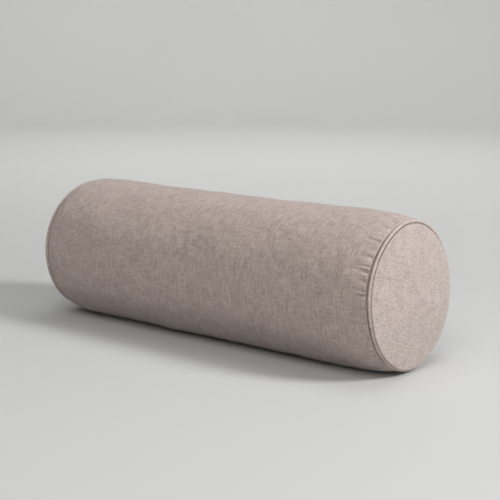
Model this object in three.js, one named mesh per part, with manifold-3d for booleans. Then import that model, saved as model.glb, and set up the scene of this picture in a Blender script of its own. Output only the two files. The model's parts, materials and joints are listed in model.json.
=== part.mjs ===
// Bolster pillow: a piped linen cover with a concealed zip, over a calico-cased foam core.
//
// Millimetres, +Z up. X runs along the bolster, and the origin is on the floor under its middle.
// The cover's barrel lies on a flat that its weight presses into it, and a second, narrower flat
// runs along the back, where the zip stiffens the cloth.
import * as THREE from "three";
import { mergeVertices } from "three/addons/utils/BufferGeometryUtils.js";
import Module from "manifold-3d";

const wasm = await Module();
wasm.setup();

// Overall sizes
const BARREL_RADIUS = 100;
const SEAM_TO_SEAM = 570;
const DOME_HEIGHT = 14;
const SHOULDER_LENGTH = 43;
const SHOULDER_DROP = 7.2;
const RESTING_SINK = 4.3;
const SIDES = 32;

// Cloth, cord and thread
const LINEN = 0.8;
const CALICO = 0.6;
const THREAD = 0.6;
const CORD_RADIUS = 1.6;
const GAP = 0.3;

// End seams
const SEAM_ALLOWANCE = 12;
const OVERLOCK_DEPTH = 5;
const STITCH_INSET = 2;
const FOLD_OPENING = 0.3;
const DOME_POWER = 2.2;

// Zip along the back, in its own frame: X along the zip, Y down across it, Z out of the bolster.
// It lies on the first of the barrel's edges above the middle of the back.
const ZIP_ANGLE = (2 * Math.PI) / SIDES;
const ZIP_SETBACK = 60;
const ZIP_FLAT_DEPTH = 2;
const TAPE_WIDTH = 12;
const TAPE_THICKNESS = 0.5;
const TAPE_TAIL = 9;
const COIL_WIDTH = 1.9;
const COIL_THICKNESS = 2.2;
const STOP_LENGTH = 3.5;
const STOP_OVERHANG = 0.7;
const TAPE_STITCH_INSET = 6;
const LIP_ALLOWANCE = 12;

// Slider and pull
const SLIDER_LENGTH = 11;
const SLIDER_PLATE = 1;
const SLIDER_FLANGE = 0.8;
const NECK_THICKNESS = 1.2;
const NECK_LENGTH = 4.4;
const NECK_CLEARANCE = 0.4;
const EYE_LENGTH = 2.4;
const EYE_HEIGHT = 1.8;
const EYE_RIM = 0.8;
const PULL_THICKNESS = 1;
const PULL_LENGTH = 24;
const PULL_WIDTH = 7;
const PULL_BAR = 1;
const PULL_ARM = 1.2;
const PULL_ARM_GAP = 0.4;
const PULL_WINDOW = 3.2;

// Insert
const INSERT_EDGE_INSET = 11;
const INSERT_EDGE_DROP = 9;
const INSERT_ALLOWANCE = 10;
const WADDING_THICKNESS = 14.7;
const FOAM_END_INSET = 14;
const INSERT_TO_SLIDER = 0.4;
const WADDING_EASE = 0.8;
const WADDING_JOINT = 0.6;

// Worked out from the sizes above
const HALF = SEAM_TO_SEAM / 2;
const AXIS_HEIGHT = BARREL_RADIUS - RESTING_SINK;
const PIPING_SEAT = BARREL_RADIUS - SHOULDER_DROP;
const PIPING_RADIUS = CORD_RADIUS + GAP + LINEN;
const SHOULDER_START = HALF - PIPING_RADIUS - GAP - SHOULDER_LENGTH;
const STACK_EDGE = PIPING_SEAT - PIPING_RADIUS - SEAM_ALLOWANCE;
const FLANGE_FACE = GAP / 2 + LINEN;
const STACK_FACE = FLANGE_FACE + GAP + LINEN;
const END_EDGE_FACE = STACK_FACE + FOLD_OPENING + LINEN;
const CASE_RADIUS = BARREL_RADIUS - LINEN - GAP;
const FOAM_RADIUS = CASE_RADIUS - CALICO - GAP - WADDING_THICKNESS - GAP;
const CASE_EDGE_RADIUS = BARREL_RADIUS - INSERT_EDGE_DROP;
const CASE_EDGE_X = HALF - INSERT_EDGE_INSET;
const ZIP_LENGTH = SEAM_TO_SEAM - 2 * ZIP_SETBACK;

// Depths in the zip, measured out from the bolster's axis
const CLOTH_TOP = BARREL_RADIUS - ZIP_FLAT_DEPTH;
const LIP_TOP = CLOTH_TOP - LINEN - GAP;
const TAPE_TOP = LIP_TOP - LINEN - GAP;
const COIL_TOP = TAPE_TOP - TAPE_THICKNESS - GAP;
const COIL_BOTTOM = COIL_TOP - COIL_THICKNESS;
const SLIDER_BOTTOM = COIL_BOTTOM - GAP - SLIDER_PLATE;
const CASE_ZIP_FLAT = SLIDER_BOTTOM - INSERT_TO_SLIDER;
const SLIT_HALF = NECK_THICKNESS / 2 + NECK_CLEARANCE;
const COIL_INNER = NECK_THICKNESS / 2 + GAP;
const COIL_OUTER = COIL_INNER + COIL_WIDTH;
const PULL_AXIS = CLOTH_TOP + GAP + EYE_HEIGHT / 2;
const SLIDER_REST = -ZIP_LENGTH / 2 + STOP_LENGTH + GAP + SLIDER_LENGTH / 2;

const FINISHES = {
  linen: { color: 0xa3938b, roughness: 0.95, metalness: 0 },
  cord: { color: 0xe6e0d2, roughness: 0.9, metalness: 0 },
  thread: { color: 0x96867e, roughness: 0.8, metalness: 0 },
  tape: { color: 0x9a8b83, roughness: 0.85, metalness: 0 },
  coil: { color: 0x8f8079, roughness: 0.5, metalness: 0 },
  metal: { color: 0x9d9893, roughness: 0.35, metalness: 1 },
  calico: { color: 0xe9e2d0, roughness: 0.95, metalness: 0 },
  wadding: { color: 0xf4f4f1, roughness: 1, metalness: 0 },
  foam: { color: 0xece6cf, roughness: 1, metalness: 0 },
};

const bolster = new THREE.Group();
bolster.position.z = AXIS_HEIGHT;
const zip = new THREE.Group();
zip.rotation.x = ZIP_ANGLE - Math.PI / 2;
bolster.add(zip);

function addPiece(parent, name, geometry, finish) {
  const mesh = new THREE.Mesh(geometry, new THREE.MeshStandardMaterial(FINISHES[finish]));
  mesh.name = name;
  parent.add(mesh);
  return mesh;
}

// Booleans

function toSolid(geometry) {
  const bare = geometry.clone();
  bare.deleteAttribute("normal");
  bare.deleteAttribute("uv");
  const merged = mergeVertices(bare);
  const vertProperties = new Float32Array(merged.attributes.position.array);
  const triVerts = new Uint32Array(merged.index.array);
  return new wasm.Manifold(new wasm.Mesh({ numProp: 3, vertProperties, triVerts }));
}

function toGeometry(solid) {
  const mesh = solid.getMesh();
  const geometry = new THREE.BufferGeometry();
  geometry.setAttribute("position", new THREE.BufferAttribute(mesh.vertProperties, mesh.numProp));
  geometry.setIndex(new THREE.BufferAttribute(mesh.triVerts, 1));
  geometry.computeVertexNormals();
  return geometry;
}

function cut(geometry, ...tools) {
  const solid = tools.reduce((rest, tool) => rest.subtract(toSolid(tool)), toSolid(geometry));
  return toGeometry(solid);
}

function join(geometry, ...others) {
  const solid = others.reduce((sum, other) => sum.add(toSolid(other)), toSolid(geometry));
  return toGeometry(solid);
}

// Outlines, as [x along the bolster, radius] points of the right end

function arc(centreX, centreRadius, size, from, to, steps) {
  const points = [];
  for (let i = 0; i <= steps; i += 1) {
    const angle = from + ((to - from) * i) / steps;
    points.push([centreX + size * Math.cos(angle), centreRadius + size * Math.sin(angle)]);
  }
  return points;
}

// A quarter ellipse from the straight barrel down to its end seam.
function shoulder(endX, radius, endRadius) {
  const steps = 4;
  const points = [];
  for (let i = 0; i <= steps; i += 1) {
    const angle = (Math.PI / 2) * (1 - i / steps);
    const x = SHOULDER_START + (endX - SHOULDER_START) * Math.cos(angle);
    points.push([x, endRadius + (radius - endRadius) * Math.sin(angle)]);
  }
  return points;
}

// A dome from its crown on the axis out to its edge.
function dome(crownX, edgeX, edgeRadius, power, steps) {
  const points = [];
  for (let i = 0; i <= steps; i += 1) {
    const share = i / steps;
    points.push([crownX - (crownX - edgeX) * share ** power, edgeRadius * share]);
  }
  return points;
}

function mirrored(outline) {
  return outline.map(([x, radius]) => [-x, radius]).reverse();
}

// Turning, pressing and cutting to length

// Turns an outline about the bolster's axis. One that doesn't end on the axis is closed.
function turned(outline) {
  const profile = outline.map(([x, radius]) => new THREE.Vector2(Math.max(radius, 0), x));
  if (THREE.ShapeUtils.area(profile) < 0) profile.reverse();
  if (profile[0].x > 0) profile.push(profile[0].clone());
  const geometry = new THREE.LatheGeometry(profile, SIDES);
  geometry.rotateZ(-Math.PI / 2);
  return geometry;
}

// A turned body with two like ends, from half of its outline.
function turnedBothEnds(rightHalf) {
  const lastX = rightHalf[rightHalf.length - 1][0];
  return turned([[-lastX, 0], ...mirrored(rightHalf), ...rightHalf, [lastX, 0]]);
}

function rod(radius, halfLength) {
  return turnedBothEnds([[halfLength, radius]]);
}

// Presses a geometry flat on the side that faces the given angle about the X axis.
function pressed(geometry, angle, distance) {
  const outward = new THREE.Vector3(0, Math.cos(angle), Math.sin(angle));
  const position = geometry.attributes.position;
  const vertex = new THREE.Vector3();
  for (let i = 0; i < position.count; i += 1) {
    vertex.fromBufferAttribute(position, i);
    const excess = Math.max(vertex.dot(outward) - distance, 0);
    vertex.addScaledVector(outward, -excess);
    position.setXYZ(i, vertex.x, vertex.y, vertex.z);
  }
  return geometry;
}

function pressedByFloorAndZip(geometry, depth, zipFlat) {
  pressed(geometry, -Math.PI / 2, AXIS_HEIGHT - depth);
  return pressed(geometry, ZIP_ANGLE, zipFlat);
}

// A bar along the zip from a section of [y, z] points.
function zipBar(section, fromX, toX) {
  const shape = new THREE.Shape(section.map(([y, z]) => new THREE.Vector2(y, z)));
  const geometry = new THREE.ExtrudeGeometry(shape, { depth: toX - fromX, bevelEnabled: false });
  const across = new THREE.Vector3(0, 1, 0);
  const out = new THREE.Vector3(0, 0, 1);
  const along = new THREE.Vector3(1, 0, 0);
  geometry.applyMatrix4(new THREE.Matrix4().makeBasis(across, out, along));
  return geometry.translate(fromX, 0, 0);
}

function zipBox(fromX, toX, fromY, toY, fromZ, toZ) {
  return zipBar([[fromY, fromZ], [toY, fromZ], [toY, toZ], [fromY, toZ]], fromX, toX);
}

// Moves a geometry from the zip's frame into the bolster's.
function fromZipFrame(geometry) {
  return geometry.rotateX(zip.rotation.x);
}

// Linen cover

// One face of the barrel cloth: down the shoulder, round the piping and into the seam.
function barrelFace(depth) {
  const wrap = PIPING_RADIUS + GAP + depth;
  const face = STACK_FACE - LINEN + depth;
  const turnEnd = Math.PI + Math.acos(face / wrap);
  return [
    ...shoulder(HALF - wrap, BARREL_RADIUS - depth, PIPING_SEAT),
    ...arc(HALF, PIPING_SEAT, wrap, Math.PI, turnEnd, 2).slice(1),
    [HALF - face, STACK_EDGE],
  ];
}

// One edge of the barrel cloth at the zip, folded under the cloth on one side of the slit.
function zipLip(side) {
  const section = [
    [SLIT_HALF, LIP_TOP - LINEN],
    [SLIT_HALF + LIP_ALLOWANCE, LIP_TOP - LINEN],
    [SLIT_HALF + LIP_ALLOWANCE, LIP_TOP],
    [SLIT_HALF + LINEN, LIP_TOP],
    [SLIT_HALF + LINEN, CLOTH_TOP - LINEN / 2],
    [SLIT_HALF, CLOTH_TOP - LINEN / 2],
  ];
  const halfLength = ZIP_LENGTH / 2 + TAPE_TAIL;
  const outline = section.map(([y, z]) => [side * y, z]);
  return fromZipFrame(zipBar(outline, -halfLength, halfLength));
}

function zipSlit() {
  const halfLength = ZIP_LENGTH / 2;
  const slit = zipBox(-halfLength, halfLength, -SLIT_HALF, SLIT_HALF, LIP_TOP, BARREL_RADIUS);
  return fromZipFrame(slit);
}

function barrelPanel() {
  const outside = pressedByFloorAndZip(turnedBothEnds(barrelFace(0)), 0, CLOTH_TOP);
  const inside = pressedByFloorAndZip(
    turnedBothEnds(barrelFace(LINEN)), LINEN, CLOTH_TOP - LINEN);
  const shell = cut(outside, inside, rod(STACK_EDGE, HALF));
  return cut(join(shell, zipLip(-1), zipLip(1)), zipSlit());
}

// Round end cloth: a dome that folds back at its edge into the seam.
function endPanel() {
  const seamFace = STACK_FACE - LINEN;
  const foldSize = (END_EDGE_FACE - seamFace) / 2;
  const foldX = seamFace + foldSize;
  const foldRadius = PIPING_SEAT - Math.sqrt((PIPING_RADIUS + GAP + foldSize) ** 2 - foldX ** 2);
  const crown = HALF + DOME_HEIGHT;
  const edge = HALF + END_EDGE_FACE;
  return [
    ...dome(crown, edge, foldRadius, DOME_POWER, 5),
    ...arc(HALF + foldX, foldRadius, foldSize, 0, Math.PI, 4).slice(1),
    [HALF + seamFace, STACK_EDGE],
    [HALF + STACK_FACE, STACK_EDGE],
    [HALF + STACK_FACE, foldRadius],
    ...dome(crown - LINEN, edge - LINEN, foldRadius, DOME_POWER, 5).reverse(),
  ];
}

// Bias strip folded round the cord, its two raw edges in the seam.
function pipingCover() {
  const outerLean = Math.asin(FLANGE_FACE / PIPING_RADIUS);
  const bore = PIPING_RADIUS - LINEN;
  const innerLean = Math.asin(GAP / 2 / bore);
  const bottom = -Math.PI / 2;
  const turn = 2 * Math.PI;
  return [
    [HALF - FLANGE_FACE, STACK_EDGE],
    ...arc(HALF, PIPING_SEAT, PIPING_RADIUS, bottom + turn - outerLean, bottom + outerLean, 8),
    [HALF + FLANGE_FACE, STACK_EDGE],
    [HALF + GAP / 2, STACK_EDGE],
    ...arc(HALF, PIPING_SEAT, bore, bottom + innerLean, bottom + turn - innerLean, 6),
    [HALF - GAP / 2, STACK_EDGE],
  ];
}

function pipingCord() {
  return arc(HALF, PIPING_SEAT, CORD_RADIUS, 0, 2 * Math.PI, 6).slice(1);
}

function ringSection(fromX, toX, fromRadius, toRadius) {
  return [[fromX, fromRadius], [toX, fromRadius], [toX, toRadius], [fromX, toRadius]];
}

// The row of stitches through the seam, on the barrel cloth's inner face.
function seamStitching() {
  const face = HALF - STACK_FACE - GAP;
  const radius = PIPING_SEAT - PIPING_RADIUS - STITCH_INSET;
  return ringSection(face - THREAD, face, radius - THREAD / 2, radius + THREAD / 2);
}

// Thread wrapped over the seam's raw edges.
function seamOverlock() {
  const inner = STACK_FACE + GAP;
  const outer = inner + THREAD;
  const floor = STACK_EDGE - GAP;
  const top = STACK_EDGE + OVERLOCK_DEPTH;
  return [
    [HALF - outer, floor - THREAD],
    [HALF + outer, floor - THREAD],
    [HALF + outer, top],
    [HALF + inner, top],
    [HALF + inner, floor],
    [HALF - inner, floor],
    [HALF - inner, top],
    [HALF - outer, top],
  ];
}

function buildCover() {
  addPiece(bolster, "barrel_panel", barrelPanel(), "linen");
  const ends = [["left", mirrored], ["right", (outline) => outline]];
  for (const [side, place] of ends) {
    addPiece(bolster, `end_panel_${side}`, turned(place(endPanel())), "linen");
    addPiece(bolster, `piping_cover_${side}`, turned(place(pipingCover())), "linen");
    addPiece(bolster, `piping_cord_${side}`, turned(place(pipingCord())), "cord");
    addPiece(bolster, `seam_stitching_${side}`, turned(place(seamStitching())), "thread");
    addPiece(bolster, `seam_overlock_${side}`, turned(place(seamOverlock())), "thread");
  }
}

// Concealed zip

function buildZipSide(name, side) {
  const across = (from, to) => (side > 0 ? [from, to] : [-to, -from]);
  const end = ZIP_LENGTH / 2;
  const coilEnd = end - STOP_LENGTH - GAP;
  const stop = zipBox(-end, STOP_LENGTH - end, ...across(COIL_INNER, COIL_OUTER + STOP_OVERHANG),
    COIL_BOTTOM - STOP_OVERHANG, COIL_TOP);
  const tape = zipBox(-end - TAPE_TAIL, end + TAPE_TAIL,
    ...across(COIL_INNER, COIL_INNER + TAPE_WIDTH), TAPE_TOP - TAPE_THICKNESS, TAPE_TOP);
  const coil = zipBox(-coilEnd, coilEnd, ...across(COIL_INNER, COIL_OUTER), COIL_BOTTOM, COIL_TOP);
  const stitching = zipBox(-end, end, ...across(TAPE_STITCH_INSET, TAPE_STITCH_INSET + THREAD),
    COIL_TOP - THREAD, COIL_TOP);
  addPiece(zip, `zip_tape_${name}`, tape, "tape");
  addPiece(zip, `zip_coil_${name}`, coil, "coil");
  addPiece(zip, `zip_top_stop_${name}`, stop, "metal");
  addPiece(zip, `zip_stitching_${name}`, stitching, "thread");
}

function bottomStop() {
  const end = ZIP_LENGTH / 2;
  const halfWidth = COIL_OUTER + STOP_OVERHANG;
  return zipBox(end - STOP_LENGTH, end, -halfWidth, halfWidth,
    COIL_BOTTOM - STOP_OVERHANG, COIL_TOP);
}

// Channel that holds both coils, inside the cover.
function sliderChannel() {
  const inner = COIL_OUTER + GAP;
  const outer = inner + SLIDER_FLANGE;
  const plateTop = SLIDER_BOTTOM + SLIDER_PLATE;
  const section = [
    [-outer, SLIDER_BOTTOM],
    [outer, SLIDER_BOTTOM],
    [outer, COIL_TOP],
    [inner, COIL_TOP],
    [inner, plateTop],
    [-inner, plateTop],
    [-inner, COIL_TOP],
    [-outer, COIL_TOP],
  ];
  return zipBar(section, -SLIDER_LENGTH / 2, SLIDER_LENGTH / 2);
}

// Upright neck that passes out between the coils and through the slit, with an eye for the pull.
function sliderNeck() {
  const half = NECK_LENGTH / 2;
  const foot = SLIDER_BOTTOM + SLIDER_PLATE / 2;
  const eyeBottom = PULL_AXIS - EYE_HEIGHT / 2;
  const eyeTop = PULL_AXIS + EYE_HEIGHT / 2;
  const top = eyeTop + EYE_RIM;
  const shape = new THREE.Shape();
  shape.moveTo(-half, foot);
  shape.lineTo(half, foot);
  shape.lineTo(half, top - EYE_RIM);
  shape.absarc(half - EYE_RIM, top - EYE_RIM, EYE_RIM, 0, Math.PI / 2, false);
  shape.lineTo(EYE_RIM - half, top);
  shape.absarc(EYE_RIM - half, top - EYE_RIM, EYE_RIM, Math.PI / 2, Math.PI, false);
  const eye = new THREE.Path();
  eye.moveTo(-EYE_LENGTH / 2, eyeBottom);
  eye.lineTo(-EYE_LENGTH / 2, eyeTop);
  eye.lineTo(EYE_LENGTH / 2, eyeTop);
  eye.lineTo(EYE_LENGTH / 2, eyeBottom);
  shape.holes.push(eye);
  const plate = new THREE.ExtrudeGeometry(shape, {
    depth: NECK_THICKNESS, bevelEnabled: false, curveSegments: 3,
  });
  plate.translate(0, 0, -NECK_THICKNESS / 2);
  return plate.rotateX(Math.PI / 2);
}

// Teardrop tab that hangs on the neck's eye by a bar across its narrow end.
function pullTab() {
  const armInner = NECK_THICKNESS / 2 + PULL_ARM_GAP;
  const armOuter = armInner + PULL_ARM;
  const endRadius = PULL_WIDTH / 2;
  const endX = PULL_LENGTH - endRadius;
  const shape = new THREE.Shape();
  shape.moveTo(-PULL_BAR / 2, -armOuter);
  shape.lineTo(PULL_WINDOW, -armOuter);
  shape.lineTo(endX, -endRadius);
  shape.absarc(endX, 0, endRadius, -Math.PI / 2, Math.PI / 2, false);
  shape.lineTo(PULL_WINDOW, armOuter);
  shape.lineTo(-PULL_BAR / 2, armOuter);
  const window = new THREE.Path();
  window.moveTo(PULL_BAR / 2, -armInner);
  window.lineTo(PULL_BAR / 2, armInner);
  window.lineTo(PULL_WINDOW, armInner);
  window.lineTo(PULL_WINDOW, -armInner);
  shape.holes.push(window);
  const tab = new THREE.ExtrudeGeometry(shape, {
    depth: PULL_THICKNESS, bevelEnabled: false, curveSegments: 8,
  });
  return tab.translate(0, 0, -PULL_THICKNESS / 2);
}

function buildZip() {
  buildZipSide("upper", -1);
  buildZipSide("lower", 1);
  addPiece(zip, "zip_bottom_stop", bottomStop(), "metal");
  const slider = addPiece(zip, "zip_slider", join(sliderChannel(), sliderNeck()), "metal");
  slider.position.x = SLIDER_REST;
  const pull = addPiece(zip, "zip_pull", pullTab(), "metal");
  pull.position.set(SLIDER_REST, 0, PULL_AXIS);
}

// Insert

// Half outline of a rounded drum that lies a given depth inside the insert's skin.
function drumFace(depth) {
  return shoulder(CASE_EDGE_X - depth, CASE_RADIUS - depth, CASE_EDGE_RADIUS - depth);
}

function insertDrum(depth) {
  const drum = turnedBothEnds(drumFace(depth));
  return pressedByFloorAndZip(drum, LINEN + GAP + depth, CASE_ZIP_FLAT - depth);
}

function caseBarrel() {
  const opening = rod(CASE_EDGE_RADIUS - INSERT_ALLOWANCE, HALF);
  return cut(insertDrum(0), insertDrum(CALICO), opening);
}

function caseEnd() {
  const crown = HALF + DOME_HEIGHT - LINEN - GAP;
  const edge = CASE_EDGE_X + GAP + CALICO;
  return [
    ...dome(crown, edge, CASE_EDGE_RADIUS, 2, 5),
    ...dome(crown - CALICO, edge - CALICO, CASE_EDGE_RADIUS, 2, 5).reverse(),
  ];
}

// Batting wrapped once round the foam, its two edges butted along the top.
function waddingWrap() {
  const joint = new THREE.BoxGeometry(SEAM_TO_SEAM, WADDING_JOINT, BARREL_RADIUS);
  joint.translate(0, 0, BARREL_RADIUS / 2);
  return cut(insertDrum(CALICO + GAP), rod(FOAM_RADIUS + GAP, HALF), joint);
}

function waddingEnd() {
  const rim = CASE_EDGE_RADIUS - INSERT_ALLOWANCE - GAP;
  const crown = HALF + DOME_HEIGHT - LINEN - GAP - CALICO - WADDING_EASE;
  const edge = CASE_EDGE_X + GAP - WADDING_EASE;
  const rimX = crown - (crown - edge) * (rim / CASE_EDGE_RADIUS) ** 2;
  const back = HALF - FOAM_END_INSET + GAP;
  return [...dome(crown, rimX, rim, 2, 5), [back, rim], [back, 0]];
}

function buildInsert() {
  addPiece(bolster, "inner_case_barrel", caseBarrel(), "calico");
  addPiece(bolster, "inner_case_end_left", turned(mirrored(caseEnd())), "calico");
  addPiece(bolster, "inner_case_end_right", turned(caseEnd()), "calico");
  addPiece(bolster, "wadding_wrap", waddingWrap(), "wadding");
  addPiece(bolster, "wadding_end_left", turned(mirrored(waddingEnd())), "wadding");
  addPiece(bolster, "wadding_end_right", turned(waddingEnd()), "wadding");
  addPiece(bolster, "foam_core", rod(FOAM_RADIUS, HALF - FOAM_END_INSET), "foam");
}

buildCover();
buildZip();
buildInsert();

export default bolster;
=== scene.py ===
"""Bolster pillow: a washed linen cover with piped ends and a concealed zip, over a foam insert."""
import json
import logging
import math
from dataclasses import dataclass, field
from enum import Enum
from typing import Callable, Sequence

import bmesh
import bpy
import numpy as np
from mathutils import Matrix, Vector


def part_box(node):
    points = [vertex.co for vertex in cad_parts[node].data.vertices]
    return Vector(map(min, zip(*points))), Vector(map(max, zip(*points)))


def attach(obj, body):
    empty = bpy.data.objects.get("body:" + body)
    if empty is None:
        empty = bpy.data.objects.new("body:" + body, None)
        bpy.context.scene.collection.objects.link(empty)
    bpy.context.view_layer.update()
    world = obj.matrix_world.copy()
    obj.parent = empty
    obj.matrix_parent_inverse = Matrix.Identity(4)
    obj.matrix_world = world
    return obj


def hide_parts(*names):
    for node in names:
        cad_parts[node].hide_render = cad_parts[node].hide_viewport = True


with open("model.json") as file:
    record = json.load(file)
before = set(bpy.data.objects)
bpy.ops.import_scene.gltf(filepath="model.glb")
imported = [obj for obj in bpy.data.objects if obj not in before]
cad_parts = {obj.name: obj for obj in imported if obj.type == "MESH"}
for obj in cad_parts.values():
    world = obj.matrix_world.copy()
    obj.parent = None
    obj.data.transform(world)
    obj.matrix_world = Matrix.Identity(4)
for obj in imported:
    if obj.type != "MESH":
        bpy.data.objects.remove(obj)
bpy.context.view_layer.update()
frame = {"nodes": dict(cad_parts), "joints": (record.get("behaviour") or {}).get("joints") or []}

LOG = logging.getLogger("bolster")
MM = 0.001
TAU = 2 * math.pi


class End(Enum):
    """The two ends of the bolster, with the sign of X on each."""

    LEFT = -1
    RIGHT = 1

    @property
    def word(self) -> str:
        """The end's name as it stands in a piece's name."""
        return self.name.lower()


class Side(Enum):
    """The two sides of the zip: the sign is that of the direction down across it."""

    UPPER = -1
    LOWER = 1

    @property
    def word(self) -> str:
        """The side's name as it stands in a piece's name."""
        return self.name.lower()


@dataclass(frozen=True)
class Layout:
    """Where the frame puts the bolster's axis, seams and zip, in metres."""

    axis_z: float
    radius: float
    seam_x: float
    crown_x: float
    piping_seat: float
    raw_edge: float
    zip_out: Vector
    zip_down: Vector
    zip_half: float
    tape_half: float
    slider_x: float
    pull_axis: float
    piping_radius: float = 2.7 * MM
    linen: float = 0.8 * MM
    seam_allowance: float = 12 * MM

    @classmethod
    def from_frame(cls) -> "Layout":
        """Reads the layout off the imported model's boxes and its pull hinge.

        Returns:
            The layout.
        """
        foam_low, foam_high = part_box("foam_core")
        axis_z = (foam_low.z + foam_high.z) / 2
        cord_low, cord_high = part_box("piping_cord_right")
        piping_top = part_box("piping_cover_right")[1].z - axis_z
        seat = piping_top - cls.piping_radius
        hinge = next(j for j in frame["joints"] if j["name"] == "pull_hinge")
        up = Vector(hinge["axis"]).normalized()
        out = up.cross(Vector((1, 0, 0))).normalized()
        pivot = Vector(hinge["pos_m"]) - Vector((0, 0, axis_z))
        return cls(
            axis_z=axis_z,
            radius=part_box("barrel_panel")[1].z - axis_z,
            seam_x=(cord_low.x + cord_high.x) / 2,
            crown_x=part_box("end_panel_right")[1].x,
            piping_seat=seat,
            raw_edge=seat - cls.piping_radius - cls.seam_allowance,
            zip_out=out,
            zip_down=-up,
            zip_half=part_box("zip_stitching_upper")[1].x,
            tape_half=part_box("zip_tape_upper")[1].x,
            slider_x=pivot.x,
            pull_axis=pivot.dot(out),
        )


# Shared shape helpers


def smoothstep(low: float, high: float, value: np.ndarray) -> np.ndarray:
    """Rises smoothly from 0 at low to 1 at high.

    Args:
        low: where the rise starts.
        high: where it ends.
        value: the places to measure.

    Returns:
        The height at each place.
    """
    t = np.clip((value - low) / (high - low), 0, 1)
    return t * t * (3 - 2 * t)


def soft_limit(
    value: np.ndarray, limit: float | np.ndarray, softness: float,
) -> np.ndarray:
    """Holds a value under a limit, with a rounded shoulder instead of a corner.

    Args:
        value: the values to hold.
        limit: what they level off at.
        softness: how far below the limit the rounding starts.

    Returns:
        The values, never above the limit.
    """
    over = (value - limit) / softness
    rounded = np.log1p(np.exp(-np.clip(over, -30, 30)))
    return limit - softness * np.where(over < -30, -over, rounded)


def round_angles(count: int, closed: bool = False) -> np.ndarray:
    """Even angles round a turn, with the first again at the end if closed."""
    return TAU * np.arange(count + closed) / count


def mirrored(half: np.ndarray) -> np.ndarray:
    """A whole outline from its right half, which starts at the middle."""
    return np.concatenate([half[:0:-1] * np.array([-1, 1]), half])


def linked(name: str, data: bpy.types.ID) -> bpy.types.Object:
    """Makes an object of a mesh, lamp or camera and puts it in the scene.

    Args:
        name: the object's name.
        data: what it shows.

    Returns:
        The new object.
    """
    thing = bpy.data.objects.new(name, data)
    bpy.context.scene.collection.objects.link(thing)
    return thing


@dataclass
class Ripple:
    """Gentle unevenness of a stuffed surface: a sum of waves round and along it."""

    height: float
    shortest: float
    longest: float
    girth: float
    waves: int = 26
    seed: int = 1

    def at(self, angle: np.ndarray, along: np.ndarray) -> np.ndarray:
        """Height of the ripple.

        Args:
            angle: angle round the bolster, in radians.
            along: distance along the cloth, in metres.

        Returns:
            Heights in metres, with about the stated spread.
        """
        rng = np.random.default_rng(self.seed)
        total = np.zeros(np.broadcast(angle, along).shape)
        for _ in range(self.waves):
            length = self.shortest * (self.longest / self.shortest) ** rng.random()
            heading = rng.random() * TAU
            turns = round(self.girth / length * math.cos(heading))
            pitch = TAU / length * math.sin(heading)
            phase = rng.random() * TAU
            total += np.cos(turns * angle + pitch * along + phase) * (length / self.longest) ** 0.5
        return total * self.height * (2 / self.waves) ** 0.5


@dataclass
class Puckers:
    """Short dents where the stitches of an end seam draw the cloth in."""

    count: int
    depth: tuple[float, float]
    half_width: tuple[float, float]
    length: tuple[float, float]
    girth_radius: float
    seed: int
    hold_at_seam: float = 0.35

    def at(self, angle: np.ndarray, from_seam: np.ndarray) -> np.ndarray:
        """Depth of the dents, as a negative height.

        Args:
            angle: angle round the bolster, in radians.
            from_seam: distance from the seam along the cloth, in metres.

        Returns:
            Heights in metres, at most 0 in a dent and a little over 0 between dents.
        """
        rng = np.random.default_rng(self.seed)
        total = np.zeros(np.broadcast(angle, from_seam).shape)
        for index in range(self.count):
            centre = TAU * (index + 0.75 * (rng.random() - 0.5)) / self.count
            depth = rng.uniform(*self.depth) * (0.4 + 0.6 * rng.random())
            width = rng.uniform(*self.half_width)
            reach = rng.uniform(*self.length)
            skew = rng.normal(0, 0.16)
            swirl = (angle - centre + math.pi) % TAU - math.pi
            offset = (swirl * self.girth_radius - skew * from_seam) / width
            fade = np.exp(-((np.maximum(from_seam, 0) / reach) ** 2) * 1.6)
            rise = self.hold_at_seam + (1 - self.hold_at_seam) * smoothstep(0, 4 * MM, from_seam)
            dent = -np.exp(-(offset**2)) + 0.45 * np.exp(-((offset / 2.2) ** 2))
            total += depth * dent * fade * rise
        return total


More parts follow.
